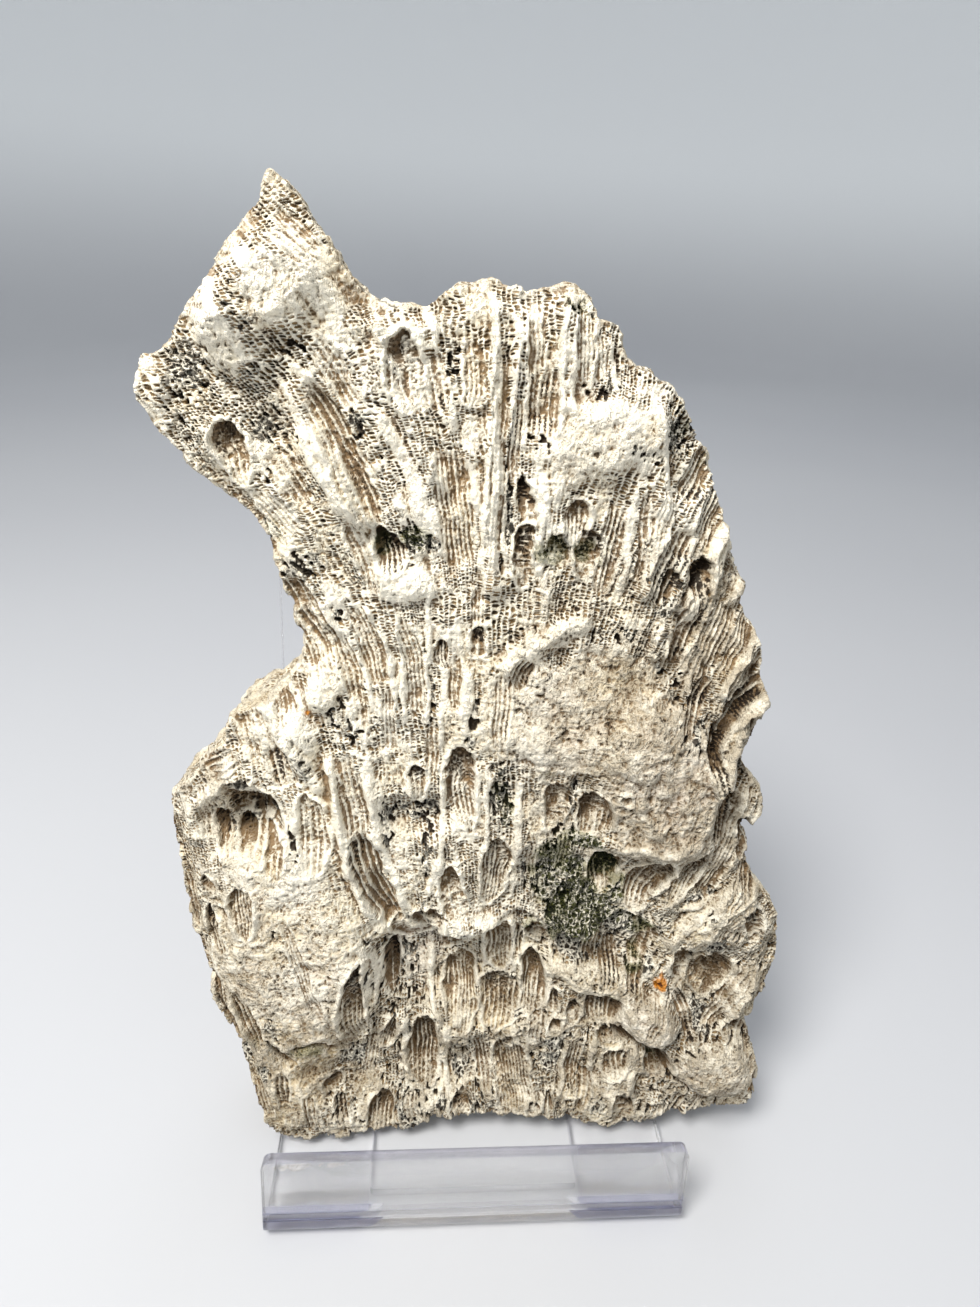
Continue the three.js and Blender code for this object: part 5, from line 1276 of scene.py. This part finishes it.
    # open skeleton: pale threads over gaps darkened with painted shade, or green where algae sit
    coarse = s.cracks(stretched, look["mesh"])
    strand = 1 - s.between(coarse + (speck - 0.5) * 0.14, 0.07, 0.19)
    bare = s.between(skeleton + (grain - 0.5) * 0.5, 0.25, 0.6)
    gap = bare * (1 - strand) * s.between(blotch + skeleton * 0.4, 0.5, 0.66)
    colour = s.mix(gap * 0.92, colour, s.mix(green * 1.2, look["pore"], look["algae"]))
    colour = s.mix(bare * strand * 0.7, colour, look["pale"])
    film = s.between(green + (blotch - 0.5) * 1.3 + (grain - 0.5) * 0.5, 0.2, 0.6)
    colour = s.mix(film * (0.45 - bare * strand * 0.35), colour, look["algaeThin"])
    sheltered = green * 0.62 + deep * 0.45 + (hole + opening) * 0.6 + pitting * 0.3
    grown = s.between(sheltered + (grain - 0.5) * 1.4 - white * 0.35, 0.6, 0.92)
    colour = s.mix(grown * film * (0.94 - bare * strand * 0.8), colour, look["algae"])
    spot = s.between(rust + (grain - 0.5) * 0.6, 0.1, 0.6)
    colour = s.mix(spot * 0.88, colour, look["rust"])
    colour = s.mix(s.between(rust + (grain - 0.5) * 0.3, 0.82, 0.98) * 0.92, colour, look["rustDark"])

    height = grain * 0.8 + speck * 0.3 + blotch * 0.8 - crumbs * 0.8
    height = height - pitting * 0.75 * (1 - white * 0.5) - opening * 0.9 - gap * 1.1
    bump = s.node("ShaderNodeBump", {}, {"Strength": 0.9, "Distance": 0.0005, "Height": height})
    return s.finish(s.principled({
        "Base Color": colour, "Roughness": look["roughness"] - white * 0.1,
        "Specular IOR Level": 0.25, "Normal": bump}))


acrylic = {
    "tint": (1.0, 1.0, 1.0),
    "ior": 1.49,
    "roughness": 0.01,
    "absorb": linear(214, 212, 240),
    "density": 3.0,
    "clear": 0.12,
    # paler lavender of a cut edge's painted glow
    "cutEdgeGlow": linear(232, 230, 248),
    # slate of the painted refraction
    "fold": linear(134, 136, 170),
    "bandHeight": 0.0068,  # metres, like the rest: the shelf's end seen through the lip
    "gapHalfWidth": 0.0223,
    "gapFlare": 0.9,
    "lipDepth": 0.006,
}


def makeAcrylic():
    s = Shader("clear_acrylic_sheet")
    look = acrylic
    place = s.node("ShaderNodeTexCoord", output=3)
    # faint rub marks keep the gloss from being perfect
    scuffs = s.between(s.noise(place, 900.0, 4.0, 0.7, 1.5), 0.6, 0.8)
    carried = s.node("ShaderNodeAttribute", {"attribute_name": "sheet"}, output=0)
    cut, fold, _ = s.parts(carried, "ShaderNodeSeparateColor")
    # painted refraction: the shelf's end seen through the lip, a slate band beside the opening, fainter along
    # the lip's fold
    across, along, up = s.parts(place)
    below = look["bandHeight"] - up
    beside = abs(across - middleX * mm) - look["gapHalfWidth"] - below * look["gapFlare"]
    atLip = s.between(along - frontY * mm, look["lipDepth"], look["lipDepth"] - 0.001)
    band = s.between(below, 0.0, 0.0002) * s.between(beside, 0.0, 0.0002) * atLip
    fold = band + fold * s.between(beside, 0.0002, -0.0002) * 0.4
    # painted edge glow and painted refraction: cut edges paler lavender, the slate band darker, both more solid
    colour = s.mix(cut, s.mix(fold, look["tint"], look["fold"]), look["cutEdgeGlow"])
    grazing = s.node("ShaderNodeLayerWeight", {}, {"Blend": 0.5}, output=1)
    solid = cut.math("ADD", look["clear"] + grazing * 0.6, cut * 0.55 + fold * 0.72, clamp=True)
    surface = s.principled({
        "Base Color": colour, "Roughness": look["roughness"] + scuffs * 0.06, "IOR": look["ior"],
        "Transmission Weight": 1.0, "Alpha": solid})
    tinted = {"Color": (*look["absorb"], 1), "Density": look["density"]}
    return s.finish(surface, s.node("ShaderNodeVolumeAbsorption", {}, tinted))


def makeFloorFinish():
    s = Shader("pale_studio_floor")
    place = s.node("ShaderNodeTexCoord", output=3)
    soft = s.noise(place, 1.6, 2.0)
    up = s.parts(place)[2]
    # painted light: the floor is grey and the curve turns whiter as it rises to the wall
    low = s.mix(s.between(soft, 0.2, 0.8), linear(184, 186, 191), linear(190, 192, 196))
    colour = s.mix(s.between(up, 0.0, 0.5), low, linear(248, 251, 253))
    return s.finish(s.principled({"Base Color": colour, "Roughness": 0.6, "Specular IOR Level": 0.2}))


def makeAlgaeFinish():
    s = Shader("dry_green_algae")
    place = s.node("ShaderNodeTexCoord", output=3)
    colour = s.mix(s.between(s.noise(place, 900.0, 2.0), 0.35, 0.65), linear(30, 36, 13), linear(98, 100, 46))
    return s.finish(s.principled({"Base Color": colour, "Roughness": 0.9}))


coralMaterial = makeCoralFinish()
acrylicMaterial = makeAcrylic()
algaeMaterial = makeAlgaeFinish()
print("materials")


def meshFromPolygons(name, positions, quads, others, attributes, material):
    # smooth four-cornered faces from an array, then flat ones of any size from lists
    used = np.unique(np.concatenate([quads.ravel()] + [np.array(p) for p in others]))
    renumber = np.zeros(len(positions), int)
    renumber[used] = np.arange(len(used))
    corners = np.concatenate([renumber[quads].ravel()] + [renumber[np.array(p)] for p in others])
    sizes = np.concatenate([np.full(len(quads), 4), [len(p) for p in others]]).astype(int)
    mesh = bpy.data.meshes.new(name)
    mesh.vertices.add(len(used))
    mesh.vertices.foreach_set("co", (positions[used] * mm).astype(np.float32).ravel())
    mesh.loops.add(len(corners))
    mesh.loops.foreach_set("vertex_index", corners.astype(np.int32))
    mesh.polygons.add(len(sizes))
    mesh.polygons.foreach_set("loop_start", (np.cumsum(sizes) - sizes).astype(np.int32))
    mesh.polygons.foreach_set("use_smooth", np.arange(len(sizes)) < len(quads))
    mesh.update(calc_edges=True)
    for label, values in attributes.items():
        layer = mesh.color_attributes.new(label, "FLOAT_COLOR", "POINT")
        rgba = np.ones((len(used), 4), np.float32)
        rgba[:, :3] = values[used]
        layer.data.foreach_set("color", rgba.ravel())
    mesh.materials.append(material)
    mesh.validate()
    return addObject(name, mesh)


positions, tones, bands = buildCoral(slab["spacing"])
bandNames = ("coral_foot", "coral_lower_body", "coral_upper_body", "coral_waist", "coral_crown")
for name, (quads, others) in zip(bandNames, bands):
    piece = meshFromPolygons(name, positions, quads, others, tones, coralMaterial)
    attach(piece, "root")
    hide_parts("coral_slab")
    print(name, len(piece.data.polygons), "faces")

algae = {
    "bladesPerSquareMillimetre": 2.6,
    "length": 0.8,
    "width": 0.11,
    "bend": 0.9,  # how far a blade may lean from upright, in radians
    "startsAt": 0.6,  # how green the stone is where blades stand
    "seed": 17,
}


def tuftTree():
    tree = bpy.data.node_groups.new("algae_blades", "GeometryNodeTree")
    kinds = {"Bed": "Geometry", "Density": "Float", "Length": "Float", "Width": "Float", "Bend": "Float",
             "Seed": "Int", "Material": "Material"}
    for name, kind in kinds.items():
        tree.interface.new_socket(name, in_out="INPUT", socket_type="NodeSocket" + kind)
    tree.interface.new_socket("Blades", in_out="OUTPUT", socket_type="NodeSocketGeometry")
    g = Nodes(tree)
    group = g.node("NodeGroupInput").socket.node
    given = {socket.name: Wire(g, socket) for socket in group.outputs if socket.name}
    points = g.node("GeometryNodeDistributePointsOnFaces", {}, {
        "Mesh": given["Bed"], "Density": given["Density"], "Seed": given["Seed"]})
    upright = Wire(g, points.socket.node.outputs["Rotation"])
    blade = g.node("GeometryNodeMeshCone", {"fill_type": "NGON"}, {
        "Vertices": 3, "Radius Bottom": given["Width"], "Depth": given["Length"]})
    bend = g.node("FunctionNodeRandomValue", {"data_type": "FLOAT_VECTOR"}, {
        0: (-1.0, -1.0, -3.1), 1: (1.0, 1.0, 3.1), "Seed": given["Seed"]})
    leaning = g.node("ShaderNodeVectorMath", {"operation": "SCALE"}, {0: bend, "Scale": given["Bend"]})
    turned = g.node("FunctionNodeRotateRotation", {"rotation_space": "LOCAL"}, {0: upright, 1: leaning})
    size = g.node("FunctionNodeRandomValue", {"data_type": "FLOAT"}, {2: 0.45, 3: 1.25, "Seed": 3}, output=1)
    placed = g.node("GeometryNodeInstanceOnPoints", {}, {
        "Points": points, "Instance": blade, "Rotation": turned, "Scale": size})
    real = g.node("GeometryNodeRealizeInstances", {}, {"Geometry": placed})
    finished = g.node("GeometryNodeSetMaterial", {}, {"Geometry": real, "Material": given["Material"]})
    g.node("NodeGroupOutput", {}, {0: finished}, output=None)
    return tree


def settle(piece):
    # the piece keeps the mesh that its modifiers make
    bpy.context.view_layer.update()
    made = bpy.data.meshes.new_from_object(piece.evaluated_get(bpy.context.evaluated_depsgraph_get()))
    piece.modifiers.clear()
    piece.data = made
    return made


def growAlgae(positions, tones, bands):
    quads = np.concatenate([q for q, _ in bands])
    green = tones["stains"][quads][:, :, 0].min(axis=1)
    bed = quads[green > algae["startsAt"]]
    piece = meshFromPolygons("algae_blades", positions, bed, [], {}, algaeMaterial)
    grow = piece.modifiers.new("blades", "NODES")
    grow.node_group = tuftTree()
    values = {
        "Density": algae["bladesPerSquareMillimetre"] / mm ** 2, "Length": algae["length"] * mm,
        "Width": algae["width"] * mm, "Bend": algae["bend"], "Seed": algae["seed"],
        "Material": algaeMaterial,
    }
    for socket in grow.node_group.interface.items_tree:
        if socket.in_out == "INPUT" and socket.name in values:
            grow[socket.identifier] = values[socket.name]
    settle(piece)
    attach(piece, "root")
    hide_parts("coral_slab")
    return piece


algaePiece = growAlgae(positions, tones, bands)
print("algae", len(algaePiece.data.polygons), "faces")


def bendPath(*corners):
    # points of the sheet's middle, in (y, z), with every fold rounded
    radius, steps = sheet["bendRadius"], sheet["bendSteps"]
    path = [corners[0]]
    for a, b, c in zip(corners, corners[1:], corners[2:]):
        entering, leaving = (b - a).normalized(), (c - b).normalized()
        turn = math.atan2(entering.x * leaving.y - entering.y * leaving.x, entering.dot(leaving))
        start = b - entering * radius * math.tan(abs(turn) / 2)
        centre = start + Vector((-entering.y, entering.x)) * math.copysign(radius, turn)
        path += [centre + Matrix.Rotation(turn * k / steps, 2) @ (start - centre) for k in range(steps + 1)]
    return path + [corners[-1]]


def buildStand():
    half = sheet["thickness"] / 2
    lipUp = Vector((math.sin(sheet["lipLean"]), math.cos(sheet["lipLean"])))
    backUp = Vector((math.sin(sheet["backrestLean"]), math.cos(sheet["backrestLean"])))
    legDown = Vector((math.sin(sheet["legLean"]), -math.cos(sheet["legLean"])))
    lipCorner = Vector(((half + half * lipUp.x) / lipUp.y, half))
    _, backY, backZ = onSlice(np.array(0.0), np.array(0.0), np.array(0.0))
    backY = backY - frontY + (half - backZ) * math.tan(sheet["backrestLean"]) + (slab["gap"] + half) / backUp.y
    backCorner = Vector((backY, half))
    backTop = backCorner + backUp * sheet["backrestLength"]
    wall = bendPath(lipCorner + lipUp * sheet["lipLength"], lipCorner, backCorner, backTop)
    webEnd = Vector((lipCorner.x + sheet["lipWeb"], half))
    hinge = backCorner + backUp * sheet["windowTop"]
    for extra in (webEnd, hinge - backUp * 1.0):  # rows where the opening starts and ends
        apart = lambda a, b: (b - a).length
        detour = lambda n: apart(wall[n - 1], extra) + apart(extra, wall[n]) - apart(wall[n - 1], wall[n])
        wall.insert(min(range(1, len(wall)), key=detour), extra)
    windowStart, windowEnd = wall.index(webEnd), len(wall) - 2
    legEnd = hinge + legDown * (hinge.y / math.cos(sheet["legLean"]) + 4)
    leg = bendPath(hinge + backUp * 4, hinge, legEnd)[1:]
    wall[windowEnd] = leg[0]  # the leg folds back from here

    outer, window, legHalf = sheet["width"] / 2, sheet["windowWidth"] / 2, sheet["legWidth"] / 2
    model = bmesh.new()
    row = lambda p, *xs: [model.verts.new(((x + middleX) * mm, (p.x + frontY) * mm, p.y * mm)) for x in xs]
    rows = [row(p, -outer, -window, -legHalf, legHalf, window, outer) for p in wall]
    for r in range(len(wall) - 1):
        for c in range(5):
            if windowStart <= r < windowEnd and c in (1, 2, 3):
                continue
            model.faces.new((rows[r][c], rows[r][c + 1], rows[r + 1][c + 1], rows[r + 1][c]))
    previous = [rows[windowEnd][2], rows[windowEnd][3]]
    for p in leg[1:]:
        pair = row(p, -legHalf, legHalf)
        model.faces.new((previous[1], previous[0], pair[0], pair[1]))
        previous = pair
    loose = [w for w in model.verts if not w.link_faces]
    bmesh.ops.delete(model, geom=loose, context="VERTS")
    ends = [rows[0][0], rows[0][5], rows[-1][0], rows[-1][5], rows[windowStart][1], rows[windowStart][4]]
    bmesh.ops.bevel(model, geom=ends, offset=sheet["cornerRadius"] * mm, segments=sheet["cornerSteps"],
                    profile=0.5, affect="VERTICES")
    mesh = bpy.data.meshes.new("acrylic_easel")
    model.to_mesh(mesh)
    model.free()
    piece = addObject("acrylic_easel", mesh)
    solid = piece.modifiers.new("sheet", "SOLIDIFY")
    solid.thickness, solid.offset, solid.use_even_offset = sheet["thickness"] * mm, 0, True
    # the leg is cut off level on the table
    behind, lowest = sheet["legEnd"]
    for vertex in settle(piece).vertices:
        if vertex.co.z < lowest * mm and vertex.co.y / mm - frontY > backCorner.x + behind:
            vertex.co.y += vertex.co.z * math.tan(sheet["legLean"])
            vertex.co.z = 0
    edges = piece.modifiers.new("polished edges", "BEVEL")
    edges.width, edges.segments = sheet["polishedEdge"] * mm, 2
    edges.limit_method, edges.angle_limit = "ANGLE", math.radians(35)
    made = settle(piece)
    tidy = bmesh.new()
    tidy.from_mesh(made)
    bmesh.ops.recalc_face_normals(tidy, faces=tidy.faces)
    if tidy.calc_volume(signed=True) < 0:
        bmesh.ops.reverse_faces(tidy, faces=tidy.faces)
    openEdges = sum(not e.is_manifold for e in tidy.edges)
    print("easel volume", round(tidy.calc_volume(signed=True) * 1e6, 1), "ml; open edges", openEdges)
    tidy.to_mesh(made)
    tidy.free()
    # tones carried by every face's corners: the painted glow of a cut edge, the painted refraction at the fold
    # of the lip
    tones = np.zeros((len(made.loops), 4), np.float32)
    bend = sheet["bendRadius"]
    for face in made.polygons:
        middle, n = face.center / mm, face.normal
        atCut = abs(n.x) > 0.5 or (n.z > 0.9 and middle.z > 15)
        atFold = middle.z < 1.4 * bend + 2 and middle.y - frontY < 1.2 * bend + 1 and not atCut
        tones[list(face.loop_indices)] = (float(atCut), float(atFold), 0, 1)
    layer = made.color_attributes.new("sheet", "FLOAT_COLOR", "CORNER")
    layer.data.foreach_set("color", tones.ravel())
    made.materials.clear()
    made.materials.append(acrylicMaterial)
    made.polygons.foreach_set("use_smooth", [True] * len(made.polygons))
    made.set_sharp_from_angle(angle=math.radians(30))
    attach(piece, "root")
    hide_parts("display_stand")
    return piece


standPiece = buildStand()
print("easel", len(standPiece.data.polygons), "faces")

floor = {
    "radius": 2.6,
    "wallHeight": 1.6,
    "curve": 0.9,
    "curveSteps": 12,
    "spokes": 96,
    "airGap": 0.0003,  # so that light passes out of the clear sheet and on to the table
}


def addFloor():
    curve, count = floor["curve"], floor["spokes"]
    profile = [(0.4, 0.0), (floor["radius"] - curve, 0.0)]
    for k in range(1, floor["curveSteps"] + 1):
        angle = math.pi / 2 * k / floor["curveSteps"]
        profile.append((floor["radius"] - curve + curve * math.sin(angle), curve * (1 - math.cos(angle))))
    profile.append((floor["radius"], floor["wallHeight"]))
    model = bmesh.new()
    middle = model.verts.new((0, 0, -floor["airGap"]))
    turns = [2 * math.pi * k / count for k in range(count)]
    previous = None
    for radius, z in profile:
        level = z - floor["airGap"]
        ring = [model.verts.new((radius * math.cos(t), radius * math.sin(t), level)) for t in turns]
        for k in range(count):
            n = (k + 1) % count
            outer = (ring[k], ring[n])
            model.faces.new((middle, *outer) if previous is None else (previous[k], *outer, previous[n]))
        previous = ring
    mesh = bpy.data.meshes.new("studio_floor")
    model.to_mesh(mesh)
    model.free()
    mesh.materials.append(makeFloorFinish())
    mesh.polygons.foreach_set("use_smooth", [True] * len(mesh.polygons))
    piece = addObject("studio_floor", mesh)


# place, target, size, power and colour of each lamp; metres and watts
lights = {
    "key": ((-0.27, -0.3, 0.74), (0, 0, 0.11), 0.3, 8.1, (1.0, 0.97, 0.92)),
    "fill": ((0.8, -0.7, 0.5), (0, 0, 0.1), 0.8, 0.6, (1.0, 0.98, 0.96)),
    "back": ((0.3, 1.0, 1.2), (0, 0, 0.1), 0.9, 2.0, (1.0, 1.0, 1.0)),
}


def addLight(name, place, target, size, power, colour):
    data = bpy.data.lights.new(name, "AREA")
    data.shape, data.size, data.energy, data.color = "DISK", size, power, colour
    light = addObject(name, data)
    light.location = place
    light.rotation_euler = (Vector(target) - Vector(place)).to_track_quat("-Z", "Y").to_euler()


addFloor()
for name, settings in lights.items():
    addLight(name, *settings)

world = bpy.data.worlds.new("studio")
bpy.context.scene.world = world
world.use_nodes = True
sky = world.node_tree.nodes["Background"].inputs
sky[0].default_value = (0.88, 0.9, 0.92, 1)
sky[1].default_value = 0.68
bpy.context.scene.view_settings.view_transform = "Standard"
print("studio")
